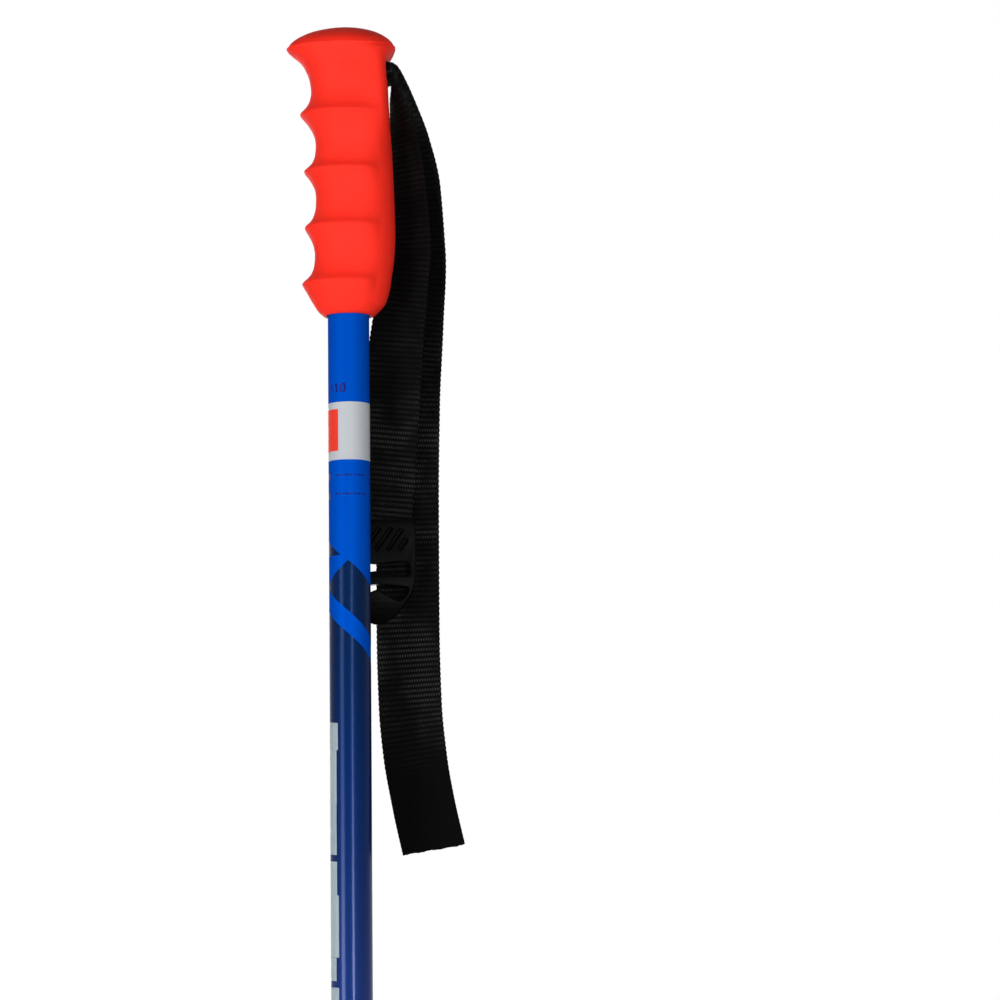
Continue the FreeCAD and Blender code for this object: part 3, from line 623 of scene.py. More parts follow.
# %% Outline tables of the grip, in millimetres: height, then how far out
FRONT = (
    (987.0, 9.1), (987.5, 10.1), (989.0, 11.65), (992.5, 13.85), (997.2, 16.55), (998.7, 17.45),
    (999.6, 17.85), (1000.5, 17.25), (1001.8, 15.75), (1003.7, 14.25), (1006.8, 13.2), (1010.7, 12.85),
    (1014.5, 13.35), (1017.5, 14.55), (1020.2, 16.05), (1021.3, 16.7), (1022.0, 16.65), (1022.8, 15.85),
    (1024.1, 14.5), (1026.1, 13.35), (1029.9, 12.45), (1033.3, 12.35), (1036.4, 12.7), (1039.5, 14.05),
    (1042.3, 15.95), (1043.4, 16.85), (1044.0, 16.85), (1044.7, 16.15), (1045.8, 14.85), (1047.4, 13.6),
    (1050.2, 12.65), (1053.8, 12.35), (1056.3, 12.6), (1059.2, 13.55), (1062.3, 15.45), (1064.8, 17.45),
    (1065.8, 18.3), (1066.4, 18.3), (1067.3, 17.45), (1069.2, 15.75), (1071.5, 14.61), (1074.7, 14.05),
    (1078.9, 14.5), (1081.3, 15.15), (1083.6, 16.15), (1086.0, 17.55), (1088.3, 19.95), (1089.5, 21.55),
    (1090.6, 22.75), (1091.5, 23.4),
)
BACK = (
    (987.0, 9.1), (987.5, 10.2), (989.0, 11.8), (992.2, 14.4), (997.4, 16.0), (1002.5, 16.8), (1009.5, 17.8),
    (1018.5, 18.3), (1028.6, 18.1), (1041.9, 17.6), (1052.4, 17.1), (1063.7, 16.3), (1077.4, 15.7),
    (1084.0, 15.4), (1086.2, 15.5), (1087.6, 16.1), (1088.9, 17.1), (1090.2, 18.0), (1091.5, 18.6),
)
SIDE = (
    (987.0, 9.1), (987.5, 10.3), (989.0, 11.6), (992.0, 13.2), (997.0, 14.4), (1010.0, 15.1), (1040.0, 15.4),
    (1055.0, 15.8), (1067.0, 16.5), (1077.0, 17.2), (1085.0, 17.6), (1088.5, 17.9), (1091.5, 18.4),
)
GROOVE = (
    (987.0, 9.1), (989.0, 11.1), (995.0, 12.8), (1010.7, 12.8), (1033.3, 12.3), (1053.8, 12.3), (1074.7, 14),
    (1091.5, 23.4),
)
DOME = (
    (0.0, 1.0), (0.1, 0.992), (0.23, 0.97), (0.35, 0.925), (0.469, 0.86), (0.632, 0.74), (0.755, 0.6),
    (0.854, 0.45), (0.929, 0.29), (0.97, 0.15), (1.0, 0.0),
)
RIM, TOP, RIM_POWER = 1091.5, 1100.0, 2.7
SAG, SAG_FADE = 0.9, 14  # how far a ridge comes down at the side, and how far under the rim that fades out
AROUND = 160
front_of, back_of, side_of, groove_of = smooth(FRONT), smooth(BACK), smooth(SIDE), smooth(GROOVE)
dome_of = smooth(DOME)
print("ridge stands", round(float(front_of(1066.1) - groove_of(1066.1)), 2), "mm out of the groove")


# %% Rings of the grip
def squared(turn, power):
    """Cosine and sine of a turn, pushed out so that the oval gets squarer shoulders."""
    c, n = math.cos(turn), math.sin(turn)
    reach = (abs(c) ** power + abs(n) ** power) ** (-1 / power)
    return c * reach, n * reach


def ridge_share(turn):
    """How much of a ridge is left this far round from the front, where turn is pi."""
    off = abs(math.degrees(turn) - 180)
    return float(np.interp(off, (0, 25, 60, 90, 108, 126, 180), (1, 0.9, 0.7, 0.58, 0.4, 0.06, 0.0)))


def ridge_sag(turn):
    """How far a ridge has come down, in millimetres, by this far round from the front."""
    off = min(90, abs(math.degrees(turn) - 180))
    return SAG * math.sin(math.radians(off))


power_of = smooth(((1040, 2.35), (1052, 2.5), (1076, 6.4), (1085, 6.4), (1088.5, 4.2), (RIM, RIM_POWER)))


def back_power(height):
    """The back is flatter where the strap comes out, so that the slot's mouth stays in it."""
    return float(power_of(height))


def grip_ring(height, power):
    """One ring of the grip: an oval with squared shoulders, and the ridges laid on it."""
    front, back, side = float(front_of(height)), float(back_of(height)), float(side_of(height))
    groove = min(front, float(groove_of(height)))
    middle, half = (back - groove) / 2, (back + groove) / 2
    ring = []
    for i in range(AROUND):
        turn = 2 * math.pi * i / AROUND
        c, n = squared(turn, max(power, back_power(height)) if math.cos(turn) > 0 else power)
        sag = ridge_sag(turn)
        if height >= RIM - SAG_FADE:
            sag = sag * (RIM - height) / SAG_FADE
        source = height + sag
        stand = float(front_of(source)) - min(float(front_of(source)), float(groove_of(source)))
        lift = stand * ridge_share(turn)
        x, y = middle + half * c, side * n
        away = Vector((c / half, n / side, 0)).normalized() if lift else Vector((0, 0, 0))
        ring.append((x + away.x * lift, y + away.y * lift, height))
    return ring


def oval_ring(height, middle, half, side, power=2.0, back=None):
    """A plain ring. back is the power of its half towards the strap, if that differs."""
    ring = []
    for i in range(AROUND):
        turn = 2 * math.pi * i / AROUND
        c, n = squared(turn, back if back and math.cos(turn) > 0 else power)
        ring.append((middle + half * c, side * n, height))
    return ring


rings = []
for r, z in ((8.2, 994.0), (8.2, 987.6), (8.45, 987.1)):
    rings.append(oval_ring(z, 0, r, r))
for z in np.concatenate([np.linspace(987.0, 989.0, 8), np.arange(989.5, RIM - 0.2, 0.45), [RIM]]):
    power = 2 + 0.35 * float(np.interp(z, (989, 1003, 1083, 1091), (0, 1, 1, 0)))
    rings.append(grip_ring(float(z), power))
rim_middle = (float(back_of(RIM)) - float(front_of(RIM))) / 2
rim_half = (float(back_of(RIM)) + float(front_of(RIM))) / 2
rim_side = float(side_of(RIM))
for rise, out in ((0.2, 0.1), (0.45, 0.08)):
    rings.append(oval_ring(RIM + rise, rim_middle, rim_half + out, rim_side + out, 2.0, RIM_POWER))
for reach in np.concatenate([np.linspace(0.992, 0.9, 8), np.linspace(0.87, 0.06, 22)]):
    z = RIM + (TOP - RIM) * float(dome_of(reach))
    back = 2.0 + (RIM_POWER - 2.0) * reach ** 2
    rings.append(oval_ring(z, rim_middle * reach, rim_half * reach, rim_side * reach, 2.0, back))
print(len(rings), "rings of", AROUND, "points")

# %% [markdown]
# The shell is hollow where the core sits, so the last rings go back down inside it. The strap's slot is cut
# with a Boolean, because a square mouth in a round skin is hard to loft, and its cutter has soft corners so
# that the mouth looks moulded and not sawn. Round the slot the back is squarer than the rest.


# %% Grip shell and strap slot
def soft_block(name, low, high, edge):
    """A block with rounded edges, in millimetres, used as a cutter."""
    made = bmesh.new()
    bmesh.ops.create_cube(made, size=1.0)
    middle, size = [(a + b) / 2 for a, b in zip(low, high)], [b - a for a, b in zip(low, high)]
    for v in made.verts:
        v.co = Vector([(m + c * s) * MM for m, c, s in zip(middle, v.co, size)])
    bmesh.ops.bevel(made, geom=list(made.edges), offset=edge * MM, segments=4, affect="EDGES", profile=0.5)
    mesh = bpy.data.meshes.new(name)
    made.to_mesh(mesh)
    made.free()
    block = bpy.data.objects.new(name, mesh)
    scene.collection.objects.link(block)
    return block


def apply_modifiers(made):
    """Turns what the modifiers show into the object's own mesh."""
    shown = made.evaluated_get(bpy.context.evaluated_depsgraph_get())
    mesh = bpy.data.meshes.new_from_object(shown)
    made.modifiers.clear()
    made.data = mesh


def boolean(made, other, operation):
    """Cuts the other piece out of this one, or joins it on, and takes the other away."""
    change = made.modifiers.new("shape", "BOOLEAN")
    change.operation, change.solver, change.object = operation, "EXACT", other
    apply_modifiers(made)
    bpy.data.objects.remove(other)


HEAD_TOP, HEAD_FOOT = 1090.4, 1073.8  # the core's oval head
HEAD_MIDDLE, HEAD_HALF, HEAD_SIDE = 1.05, 12.45, 14.5
NECK_TOP, NECK_FOOT, NECK_R = 1073.2, 993.9, 9.95  # the core's round neck
SLOT_LOW, SLOT_HIGH, SLOT_EDGE = (4.0, -12.8, 1077.9), (40.0, 12.8, 1085.55), 0.8
inner = []
for z in np.linspace(HEAD_TOP, HEAD_FOOT, 4):
    inner.append(oval_ring(float(z), HEAD_MIDDLE, HEAD_HALF, HEAD_SIDE, 2.35))
inner += [oval_ring(z, 0, NECK_R, NECK_R) for z in (NECK_TOP, NECK_FOOT)]
points = [Vector(p) * MM for ring in rings for p in ring]
shell = piece("rubber_grip", points, tube_faces(len(rings), AROUND), rubber, None, 60)
hollow_points = [Vector(p) * MM for ring in inner for p in ring]
hollow = piece("grip_hollow", hollow_points, tube_faces(len(inner), AROUND), rubber)
boolean(shell, hollow, "DIFFERENCE")
boolean(shell, soft_block("slot_cutter", SLOT_LOW, SLOT_HIGH, SLOT_EDGE), "DIFFERENCE")
shell.data.shade_smooth()
shell.data.set_sharp_from_angle(angle=math.radians(50))
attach(shell, "pole")
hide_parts("grip_body")
print("grip faces", len(shell.data.polygons))

# %% [markdown]
# ## The webbing
# The strap is flat woven webbing: thick weft threads lie across it as ribs two millimetres apart, and the
# warp threads that run along it pass over them as rows of small dots. A weave that is only painted on looks
# flat at the edge, where real webbing is scalloped, so the ribs are modelled and only the dots come from the
# finish. The crests of the ribs and dots are painted a lighter grey as a painted highlight. It is faint near
# the grip, grows to full further down the strap, and shows in patches.

# %% Webbing finish
RIB, DOT = 2.0 * MM, 1.0 * MM
SHEEN_RAMP, SHEEN_NEAR_GRIP = (0.09, 0.16), 0.18  # metres along the strap over which the painted highlight on the weave grows, and its share before
SEALED = (0.262, 0.286)  # metres along the strap over which the sealed end gets smooth


def webbing_finish(name, sealed=None):
    """Black polyester webbing. The map named flat gives metres across and along the strap."""
    finish = Finish(name, specular_ior_level=0.05)
    flat = finish.node("ShaderNodeUVMap", {"uv_map": "flat"})
    split = finish.node("ShaderNodeSeparateXYZ", {}, {0: flat})
    across = Wire(finish, split.socket.node.outputs["X"])
    along = Wire(finish, split.socket.node.outputs["Y"])
    rib = (along * (math.pi / RIB)).sine().size()
    row = finish.node("ShaderNodeMath", {"operation": "FLOOR"}, {0: along / RIB})
    dot = ((across / DOT + row * 0.5) * math.pi).sine().size()
    raised = (rib ** 0.8) * (0.35 + dot * 0.65)
    cloth = finish.node("ShaderNodeCombineXYZ", {}, {0: across * 2.0, 1: along})
    fuzz = finish.noise(0.0004, 3.0, where=cloth)
    # Painted highlight: how strongly the weave's crests are painted lighter, growing along the strap and in
    # patches.
    sheen_share = SHEEN_NEAR_GRIP + along.between(*SHEEN_RAMP) * (1 - SHEEN_NEAR_GRIP)
    fade = finish.noise(0.014, 2.0).between(0.36, 0.66) * sheen_share
    if sealed:
        smoothness = along.between(*sealed)
        raised = raised * (1 - smoothness * 0.75)
        fade = fade * (1 - smoothness)
    # Painted highlight: the raised crests of ribs and dots get a lighter grey, as if catching light.
    colour = finish.mix(raised ** 3 * (sheen_share * 0.12 + fade * 0.88), linear(1, 1, 1), linear(58, 57, 55))
    colour = finish.mix(fuzz * 0.3, colour, linear(3, 3, 3))
    finish.paint(base_color=colour, roughness=0.8 - raised * 0.16 + fuzz * 0.1)
    return finish.bump(raised * 0.8 + fuzz * 0.35, 0.00022, 0.9)


print("ribs", RIB / MM, "mm apart")

# %% [markdown]
# The strap leaves the slot side-on, hangs down and turns to face the front on the way. Each leg is listed as
# stations, from the slot to its end: across from where it starts to hang, share of its full depth behind the
# tube, drop from the top of the pole, and turn in degrees. A curve through them carries rows of points.

# %% Stations of the strap
HANG_X, STRAP_TOP = 18.45, 1100.0
LONG_DEPTH, SHORT_DEPTH = 20.3, 13.6
LONG_LEG = (
    (-0.9, 0.0, 16.2, 0), (0.1, 0.0, 17.3, 2), (1.0, 0.0, 19.2, 4), (2.6, 0.01, 23.4, 7),
    (4.8, 0.04, 31.6, 14), (7.7, 0.13, 43.7, 23), (10.0, 0.28, 63.2, 35), (10.1, 0.46, 86.6, 45),
    (7.6, 0.66, 114.0, 57), (4.8, 0.84, 145.0, 70), (3.75, 0.98, 184.0, 76), (3.7, 1.0, 231.0, 76),
    (4.4, 0.94, 262.0, 76), (6.15, 0.91, 281.6, 76), (9.4, 0.87, 301.0, 76), (13.45, 0.83, 319.5, 77),
)
SHORT_LEG = (
    (-0.9, 0.0, 19.9, 0), (-0.85, 0.005, 21.5, 1), (-0.6, 0.01, 23.6, 3), (-0.1, 0.02, 26.6, 7),
    (1.1, 0.04, 31.2, 13), (2.25, 0.07, 36.3, 19), (3.3, 0.12, 48.0, 28), (4.4, 0.21, 63.2, 35),
    (4.8, 0.32, 83.0, 42), (2.5, 0.45, 102.0, 50), (0.8, 0.55, 114.0, 54), (-2.6, 0.77, 145.0, 65),
    (-4.3, 0.9, 161.0, 75), (-5.4, 1.03, 172.0, 83), (-6.1, 1.09, 178.0, 86), (-6.6, 1.12, 184.0, 89),
    (-7.2, 1.12, 190.0, 90), (-7.8, 1.06, 197.0, 90), (-8.1, 1.0, 203.0, 90),
)
WEB_WIDE, WEB_THICK, RELIEF = 25.3, 1.3, 0.13


def hung(stations, depth):
    """The stations as points in millimetres with their turns."""
    return [
        (HANG_X + across, share * depth, STRAP_TOP - drop, turn) for across, share, drop, turn in stations
    ]


print("long leg", len(LONG_LEG), "stations, short leg", len(SHORT_LEG))


# %% Weaving a strap along a curve
def spread_evenly(stations, step, soften=3):
    """Points an equal step apart on a smooth curve through the stations, with their turns."""
    rows = np.array(stations, float)
    ends = np.concatenate([[0], np.cumsum(np.linalg.norm(np.diff(rows[:, :3], axis=0), axis=1))])
    fine = np.linspace(0, ends[-1], int(ends[-1] / 0.1))
    curve = np.stack([smooth(list(zip(ends, rows[:, k])))(fine) for k in range(4)], axis=1)
    for _ in range(soften):
        padded = np.concatenate([curve[:1], curve, curve[-1:]])
        window = np.ones(9) / 9
        inside = np.stack([np.convolve(padded[:, k], window, "same") for k in range(4)], axis=1)[1:-1]
        inside[:5], inside[-5:] = curve[:5], curve[-5:]
        curve = inside
    run = np.concatenate([[0], np.cumsum(np.linalg.norm(np.diff(curve[:, :3], axis=0), axis=1))])
    places = np.linspace(0, run[-1], max(8, int(run[-1] / step)))
    return places, np.stack([np.interp(places, run, curve[:, k]) for k in range(4)], axis=1)


def weave(name, stations, finish, body=None, sealed=0.0, start=0.0, step=0.4, first_run=None, last_run=None):
    """Webbing along the stations. The last stretch, sealed, has flattened ribs and a slightly uneven cut."""
    places, rows = spread_evenly(stations, step)
    runs = np.gradient(rows[:, :3], axis=0)
    runs /= np.linalg.norm(runs, axis=1)[:, None]
    if first_run is not None:
        runs[0] = first_run
    if last_run is not None:
        runs[-1] = last_run
    turn = np.radians(rows[:, 3])
    across = np.stack([np.sin(turn), -np.cos(turn), np.zeros(len(turn))], axis=1)
    across -= runs * np.sum(across * runs, axis=1)[:, None]
    across /= np.linalg.norm(across, axis=1)[:, None]
    face = np.cross(runs, across)
    half = WEB_WIDE / 2
    columns = np.linspace(-half + 0.7, half - 0.7, 46)
    length = places[-1]
    points, flat = [], []
    for i, s in enumerate(places):
        rib = abs(math.sin(math.pi * (s * MM + start) / RIB)) ** 0.7
        kept = 1.0
        if sealed:
            kept = 1 - 0.7 * min(1.0, max(0.0, (s - length + sealed) / (sealed * 0.3)))
        lift = WEB_THICK / 2 - RELIEF + RELIEF * rib * kept
        edge = half - 0.3 + 0.3 * rib * kept
        centre = rows[i, :3]
        ring = [(u, lift) for u in columns]
        ring += [(edge - 0.18, lift * 0.72), (edge, 0.0), (edge - 0.18, -lift * 0.72)]
        ring += [(u, -lift) for u in columns[::-1]]
        ring += [(-edge + 0.18, -lift * 0.72), (-edge, 0.0), (-edge + 0.18, lift * 0.72)]
        ragged = np.zeros(3)
        lean = 0.085 * min(1.0, max(0.0, (s - length + sealed) / sealed)) if sealed else 0.0
        for u, w in ring:
            if sealed and i == len(places) - 1:
                ragged = runs[i] * (0.16 * math.sin(u * 0.9) + 0.12 * math.sin(u * 2.9 + 1))
            points.append((centre + across[i] * u + face[i] * w + ragged + runs[i] * lean * (u - half)) * MM)
            flat.append(((u + half) * MM, s * MM + start))
    around = len(ring)
    made = piece(name, points, tube_faces(len(places), around), finish, body, 50, flat)
    print(name, round(length, 1), "mm,", len(made.data.polygons), "faces")
    return made, length * MM


# %% Legs of the strap
black_webbing = webbing_finish("black_webbing")
end_webbing = webbing_finish("black_webbing_with_sealed_end", SEALED)
PIN = (5.0, 0.0, 1082.0)
BEND_R, HINGE_UP, HINGE_LOW = 2.8, 1084.8, 1079.2
SEALED_END = 38.0
half_turn = [(PIN[0] + 9.0, 0, HINGE_UP, 0), (PIN[0] + 4.0, 0, HINGE_UP, 0), (PIN[0], 0, HINGE_UP, 0)]
half_turn += [
    (PIN[0] - BEND_R * math.sin(math.radians(a)), 0, PIN[2] + BEND_R * math.cos(math.radians(a)), 0)
    for a in (30, 60, 90, 120, 150)
]
half_turn += [(PIN[0], 0, HINGE_LOW, 0), (PIN[0] + 4.0, 0, HINGE_LOW, 0), (PIN[0] + 9.0, 0, HINGE_LOW, 0)]
bend, bend_length = weave("strap_round_pin", half_turn, black_webbing, "pole")
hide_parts("strap_bend")

long_start = [(14.3, 0, HINGE_UP - 0.3, 0), (15.8, 0, HINGE_UP - 0.7, 0)]
long_stations = long_start + hung(LONG_LEG, LONG_DEPTH)
long_leg, long_length = weave("strap_long_leg_webbing", long_stations, end_webbing, sealed=SEALED_END)
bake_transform(long_leg)
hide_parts("strap_long_leg")

short_start = [(14.3, 0, HINGE_LOW, 0), (15.9, 0, HINGE_LOW + 0.6, 0)]
short_leg, short_length = weave(
    "strap_short_leg_webbing", short_start + hung(SHORT_LEG, SHORT_DEPTH), black_webbing, last_run=(0, 0, -1))
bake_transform(short_leg)
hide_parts("strap_short_leg")
print("strap", round((bend_length + long_length + short_length) * 1000), "mm in all")

# %% [markdown]
# The short leg's end goes round the buckle's bar and is sewn back on itself. The turned-back layer follows
# the same stations a strap's thickness further back, and rows of short stitches hold the two together.

# %% Turned-back end and its thread
BAR = (HANG_X - 8.1, 15.8, 897.0)
WRAP_R = 2.2
LAYERS = 1.4 + 0.25  # the webbing's thickness and the gap between two layers
SLACK = (1.6, 0.4, 0.1, 0.0, 0.0)  # how much further apart they are at each station up from the bar
wrap = []
for quarter in range(5):
    a = math.radians(45 * quarter)
    wrap.append((BAR[0], BAR[1] - WRAP_R * math.cos(a), BAR[2] - WRAP_R * math.sin(a), 90))
short_points = hung(SHORT_LEG, SHORT_DEPTH)
for (x, y, z, turn), slack in zip(reversed(short_points[-6:-1]), SLACK):
    a = math.radians(turn)
    wrap.append((x + math.cos(a) * (LAYERS + slack), y + math.sin(a) * (LAYERS + slack), z, turn))
back, back_length = weave("strap_turned_back", wrap, black_webbing, "short_leg", first_run=(0, 0, -1))
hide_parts("strap_turn_back")

thread = Finish("black_thread", specular_ior_level=0.08)
twist = (thread.height() * (2 * math.pi / 0.0005)).sine()
# Painted shade: the thread is darker in the grooves of its twist and lighter on the raised plies.
twist_shaded_colour = thread.mix(twist * 0.5 + 0.5, linear(3, 3, 3), linear(12, 12, 12))
thread.paint(base_color=twist_shaded_colour, roughness=0.6 + twist * 0.1)
STITCHES, FIRST_STITCH, STITCH_STEP = 13, -9.6, 1.6
thread.bump(twist, 0.00005, 0.6)


def stitch_points(middle, along, out, length, thick):
    """A short arched stitch: rings of points along a low bow, in metres."""
    side = along.cross(out)
    points = []
    for i in range(7):
        t = i / 6
        bow = math.sin(math.pi * t) ** 0.5
        centre = middle + along * ((t - 0.5) * length) + out * (thick * (bow - 0.5))
        r = thick * 0.5 * (0.35 + 0.65 * bow)
        for k in range(6):
            a = 2 * math.pi * k / 6
            points.append(centre + side * (r * math.cos(a)) + out * (r * math.sin(a)))
    return points


def stitch_row(stations, i, side):
    """Stitches across the strap at one station, on the face that side points to."""
    x, y, z, turn = stations[i]
    a = math.radians(turn)
    before, after = stations[i - 1], stations[min(i + 1, len(stations) - 1)]
    run = (Vector(after[:3]) - Vector(before[:3])).normalized()
    across = Vector((math.sin(a), -math.cos(a), 0))
    across = (across - run * across.dot(run)).normalized()
    face = run.cross(across)
    if face.y * side < 0:
        face = -face
    points, faces = [], []
    for k in range(STITCHES):
        middle = Vector((x, y, z)) + across * (FIRST_STITCH + STITCH_STEP * k) + face * (WEB_THICK / 2 + 0.05)
        first = len(points)
        points += [p * MM for p in stitch_points(middle, across, face, 1.35, 0.42)]
        faces += [tuple(v + first for v in f) for f in tube_faces(7, 6)]
    return points, faces


all_points, all_faces = [], []
for stations, picks, side in ((short_points, (-4, -5, -6), -1), (wrap, (-2, -3), 1)):
    for pick in picks:
        points, faces = stitch_row(stations, len(stations) + pick, side)
        all_faces += [tuple(v + len(all_points) for v in f) for f in faces]
        all_points += points
stitches = piece("strap_thread", all_points, all_faces, thread, "short_leg", 60)
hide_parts("strap_stitching")
print("stitches", len(all_faces) // len(tube_faces(7, 6)))

# %% [markdown]
# ## The buckle
# The buckle is moulded plastic: a thumb plate with slanted grooves, a round bar in two ears behind it, and
# a frame with two windows that narrows to its foot. A drawn outline with holes, given depth and a round edge
# by the curve's own bevel, makes such a plate in one go, and Booleans join the parts that stand behind it.
# The deep part of the frame is open at the top, to leave room for the strap. The foot curves back at the end.

# %% Moulded plastic
plastic = Finish("black_moulded_plastic", specular_ior_level=0.022)
mould = plastic.noise(0.0005, 3.0)
cloud = plastic.noise(0.006, 2.0)
plastic.paint(base_color=plastic.mix(cloud, linear(1, 1, 1), linear(3, 4, 4)), roughness=0.3 + mould * 0.14)
plastic.bump(mould, 0.00003, 0.5)


def rounded(corners, radius, steps=5):
    """An outline with its corners rounded: each corner becomes a short curve."""
    made = []
    n = len(corners)
    for i in range(n):
        a, b, c = (Vector(corners[(i + k) % n]) for k in (-1, 0, 1))
        back, on = (a - b), (c - b)
        cut = min(radius, back.length * 0.45, on.length * 0.45)
        start, end = b + back.normalized() * cut, b + on.normalized() * cut
        for k in range(steps + 1):
            t = k / steps
            made.append(tuple(start * (1 - t) ** 2 + b * 2 * t * (1 - t) + end * t * t))
    return made


def plate(name, outlines, front, back, edge):
    """Outlines seen from the front, in millimetres about the bar, given depth and round edges."""
    drawn = bpy.data.curves.new(name, "CURVE")
    drawn.dimensions = "2D"
    drawn.fill_mode = "BOTH"
    for outline in outlines:
        line = drawn.splines.new("POLY")
        line.points.add(len(outline) - 1)
        line.use_cyclic_u = True
        for point, (x, z) in zip(line.points, outline):
            point.co = (x * MM, z * MM, 0, 1)
    drawn.extrude = (back - front) / 2 * MM - edge * MM
    drawn.bevel_depth = edge * MM
    drawn.bevel_resolution = 2
    drawn.offset = -edge * MM
    held = bpy.data.objects.new(name, drawn)
    scene.collection.objects.link(held)
    mesh = bpy.data.meshes.new_from_object(held.evaluated_get(bpy.context.evaluated_depsgraph_get()))
    bpy.data.objects.remove(held)
    middle = (front + back) / 2
    for v in mesh.vertices:
        x, z, y = v.co
        v.co = (BAR[0] * MM + x, middle * MM - y, BAR[2] * MM + z)
    welded = bmesh.new()
    welded.from_mesh(mesh)
    bmesh.ops.remove_doubles(welded, verts=welded.verts, dist=1e-6)
    bmesh.ops.recalc_face_normals(welded, faces=welded.faces)
    welded.to_mesh(mesh)
    welded.free()
    made = bpy.data.objects.new(name, mesh)
    scene.collection.objects.link(made)
    return made


def mirrored(right):
    """A closed outline from its right half, listed from the top down."""
    return right + [(-x, z) for x, z in reversed(right) if x]


BUCKLE_FRONT, PLATE_DEEP, FRAME_DEEP, EAR_BACK = 10.6, 1.8, 4.4, 17.15
BUCKLE_HALF, WINDOW_HALF = 15.0, 12.9
FOOT_SIDE = [(BUCKLE_HALF, -10.3), (13.6, -16.2), (9.7, -21.8)]
outline = rounded(mirrored([(BUCKLE_HALF, 12.3)] + FOOT_SIDE + [(5.2, -26.4), (0, -28.6)]), 3.4)
upper_right = [(0, -5.3), (6.0, -4.3), (WINDOW_HALF, -4.1), (WINDOW_HALF, -10.0), (6.0, -9.1), (0, -7.3)]
upper = rounded(mirrored(upper_right), 2.6)
lower_right = [(0, -12.7), (6.0, -13.5), (12.4, -14.2), (12.0, -16.2), (9.0, -19.8), (5.5, -18.2), (0, -14.7)]
lower_left = [(-5.2, -17.2), (-7.0, -16.5), (-12.2, -16.4), (-12.4, -14.2), (-6.0, -13.5)]
lower = rounded(lower_right + lower_left, 1.4)
holed = [outline, upper, lower]
buckle = plate("buckle_webbing_slider", holed, BUCKLE_FRONT, BUCKLE_FRONT + PLATE_DEEP, 0.45)
frame_outer = mirrored([(BUCKLE_HALF, 1.0)] + FOOT_SIDE + [(6.4, -25.2)])
frame_inner = [(-WINDOW_HALF, 1.0), (-WINDOW_HALF, -10.2), (WINDOW_HALF, -10.2), (WINDOW_HALF, 1.0)]
frame_outline = rounded(frame_outer + frame_inner, 0.9)
deep = plate("buckle_frame", [frame_outline, lower], BUCKLE_FRONT + 0.3, BUCKLE_FRONT + FRAME_DEEP, 0.4)
for side in (-1, 1):
    near, far = side * WINDOW_HALF, side * BUCKLE_HALF
    ear = rounded([(near, -3.8), (far, -3.8), (far, 3.8), (near, 3.8)], 0.7)
    boolean(deep, plate("ear", [ear], BUCKLE_FRONT + 0.5, EAR_BACK, 0.3), "UNION")
print("buckle outline of", len(outline), "points")


# %% Bar and thumb grooves
def rod(name, start, end, radius, around=24):
    """A round rod between two points in millimetres, with slightly rounded ends."""
    start, end = Vector(start), Vector(end)
    run = (end - start).normalized()
    side = run.orthogonal().normalized()
    up = run.cross(side)
    rings, length = [], (end - start).length
    near_end = ((0, 0.7), (0.15, 0.92), (0.4, 1.0))
    far_end = ((length - 0.4, 1.0), (length - 0.15, 0.92), (length, 0.7))
    for s, r in near_end + far_end:
        for k in range(around):
            a = 2 * math.pi * k / around
            across, rise = side * (radius * r * math.cos(a)), up * (radius * r * math.sin(a))
            rings.append((start + run * s + across + rise) * MM)
    return piece(name, rings, tube_faces(6, around), plastic)


def bend_back(made, start, amount, rows=15, row=1.1):
    """Curves what is below the height start backwards, once it is cut into rows that can bend."""
    bent = bmesh.new()
    bent.from_mesh(made.data)
    for i in range(rows):
        whole = list(bent.verts) + list(bent.edges) + list(bent.faces)
        bmesh.ops.bisect_plane(bent, geom=whole, plane_co=(0, 0, (start - i * row) * MM), plane_no=(0, 0, 1))
    for v in bent.verts:
        under = max(0.0, start - v.co.z / MM)
        v.co.y += amount * under * under * MM
    bent.to_mesh(made.data)
    bent.free()


BAR_HALF, BAR_R = 14.0, 1.2
FOOT_BEND_START, FOOT_BEND = BAR[2] - 13.0, 0.0155
bar_ends = [(BAR[0] + side * BAR_HALF, BAR[1], BAR[2]) for side in (-1, 1)]
boolean(deep, rod("bar", bar_ends[0], bar_ends[1], BAR_R), "UNION")
boolean(buckle, deep, "UNION")
GROOVES = (
    ((-12.4, 4.6), (-9.0, 9.2)), ((-9.6, 0.4), (-3.4, 9.3)), ((-5.2, 0.2), (1.2, 9.3)),
    ((-0.6, 0.2), (5.8, 9.2)), ((4.0, 0.2), (9.8, 8.6)), ((8.4, 0.4), (11.6, 5.0)),
)
for i, (foot, head) in enumerate(GROOVES):
    x, y, z = BAR[0], BUCKLE_FRONT - 0.35, BAR[2]
    cutter = rod(f"groove_{i}", (x + foot[0], y, z + foot[1]), (x + head[0], y, z + head[1]), 1.05, 16)
    boolean(buckle, cutter, "DIFFERENCE")
bend_back(buckle, FOOT_BEND_START, FOOT_BEND)
buckle.data.materials.clear()
buckle.data.materials.append(plastic.material)
for face in buckle.data.polygons:
    face.material_index = 0
buckle.data.shade_smooth()
buckle.data.set_sharp_from_angle(angle=math.radians(38))
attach(buckle, "buckle")
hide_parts("strap_buckle")
print("buckle faces", len(buckle.data.polygons))

# %% [markdown]
# ## The foot of the pole
# Below the taper a black ferrule grips the tube and carries the snow basket between a bead and a shoulder,
# and a hard steel tip is pressed into its end. The CAD shapes of the ferrule and tip are right already, so
# they only get a finish. The basket is drawn again, with a rounded rim and rounded windows.

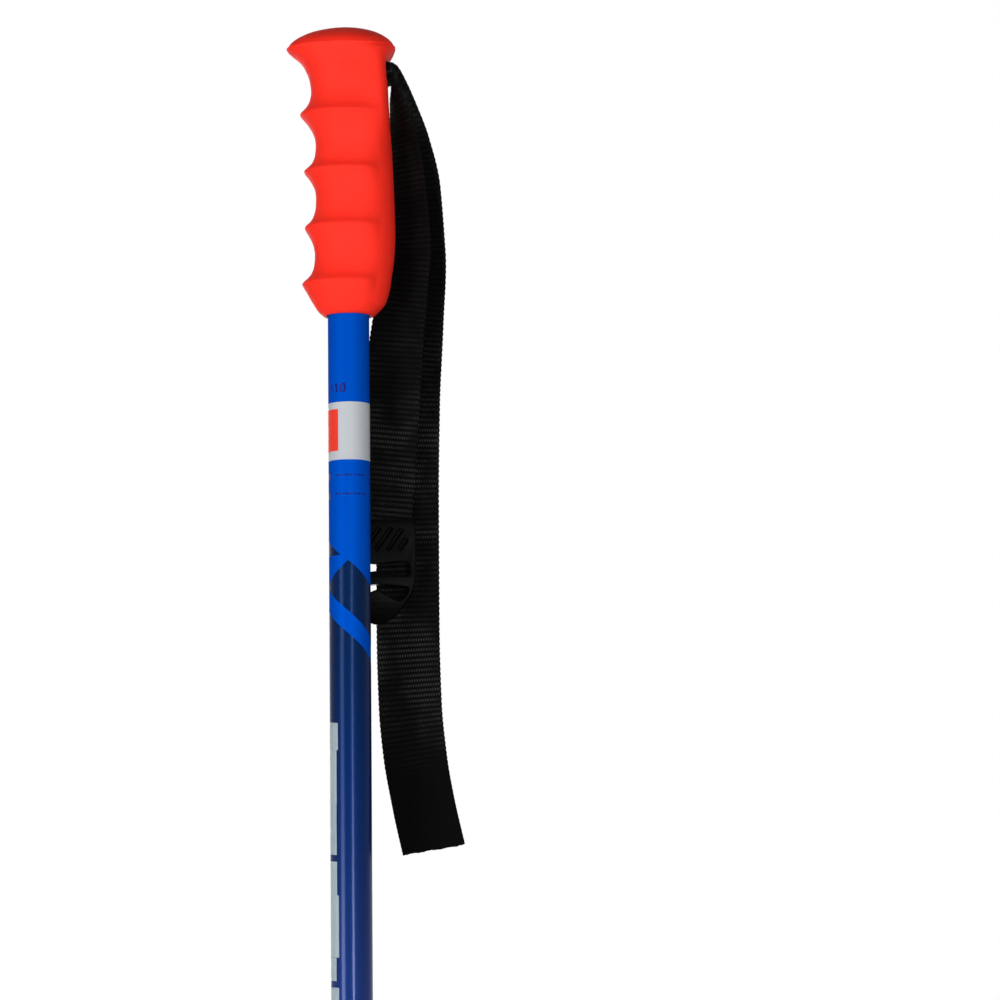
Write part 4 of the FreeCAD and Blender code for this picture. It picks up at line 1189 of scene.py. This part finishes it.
# %% Ferrule, tip, core and pin
steel = Finish("ground_steel", metallic=1.0)
grind = steel.noise(0.0004, 2.0, (1, 1, 0.15))
pits = steel.noise(0.003, 4.0)
steel_colour = steel.mix(pits, linear(150, 152, 156), linear(196, 198, 202))
steel.paint(base_color=steel_colour, roughness=0.28 + grind * 0.2)
steel.bump(grind, 0.00002, 0.5)
scuffed = Finish("scuffed_black_plastic", specular_ior_level=0.25)
rub = scuffed.noise(0.0016, 4.0, (1, 1, 0.3)).between(0.6, 0.72)
haze = scuffed.noise(0.008, 3.0)
hazy_black = scuffed.mix(haze, linear(9, 9, 10), linear(17, 17, 18))
scuffed_colour = scuffed.mix(rub * 0.35, hazy_black, linear(72, 72, 74))
scuffed.paint(base_color=scuffed_colour, roughness=0.45 + rub * 0.2 + haze * 0.08)
scuffed.bump(rub * 0.4 + scuffed.noise(0.0006, 2.0), 0.00004, 0.5)
FINISH_OF = {"tip_ferrule": scuffed, "tip_insert": steel, "strap_pin": steel, "grip_core": plastic}
for node, finish in FINISH_OF.items():
    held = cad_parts[node]
    held.data.materials.clear()
    held.data.materials.append(finish.material)
    print("finish on", node)


# %% Basket
BASKET_R, SEAT_R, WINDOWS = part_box("basket")[1].x / MM, 7.5, 6
dish = rounded([
    (SEAT_R, 60.2), (9.8, 60.2), (10.3, 62.8), (27.9, 60.5), (28.4, 59.2), (BASKET_R, 59.2), (BASKET_R, 62.8),
    (28.2, 62.7), (11.2, 64.8), (9.8, 71.8), (SEAT_R, 71.8),
], 0.7, 3)
basket = lathe("snow_basket", dish, scuffed, "basket", around=180, closed=True, sharp=45)


def window_cutter(angle):
    """An upright block with a rounded outline that cuts one window between two spokes."""
    corners = []
    for radius, off in ((13.4, -17), (25.6, -22), (26.6, -8), (26.6, 8), (25.6, 22), (13.4, 17), (13.0, 0)):
        a = math.radians(angle + off)
        corners.append((radius * math.cos(a), radius * math.sin(a)))
    edge = rounded(corners, 1.6, 3)
    rings = [(x * MM, y * MM, z * MM) for z in (52.0, 76.0) for x, y in edge]
    return piece("window", rings, tube_faces(2, len(edge)), scuffed)


for i in range(WINDOWS):
    boolean(basket, window_cutter(360 / WINDOWS * i), "DIFFERENCE")
basket.data.shade_smooth()
basket.data.set_sharp_from_angle(angle=math.radians(40))
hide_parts("basket")
print("basket faces", len(basket.data.polygons))
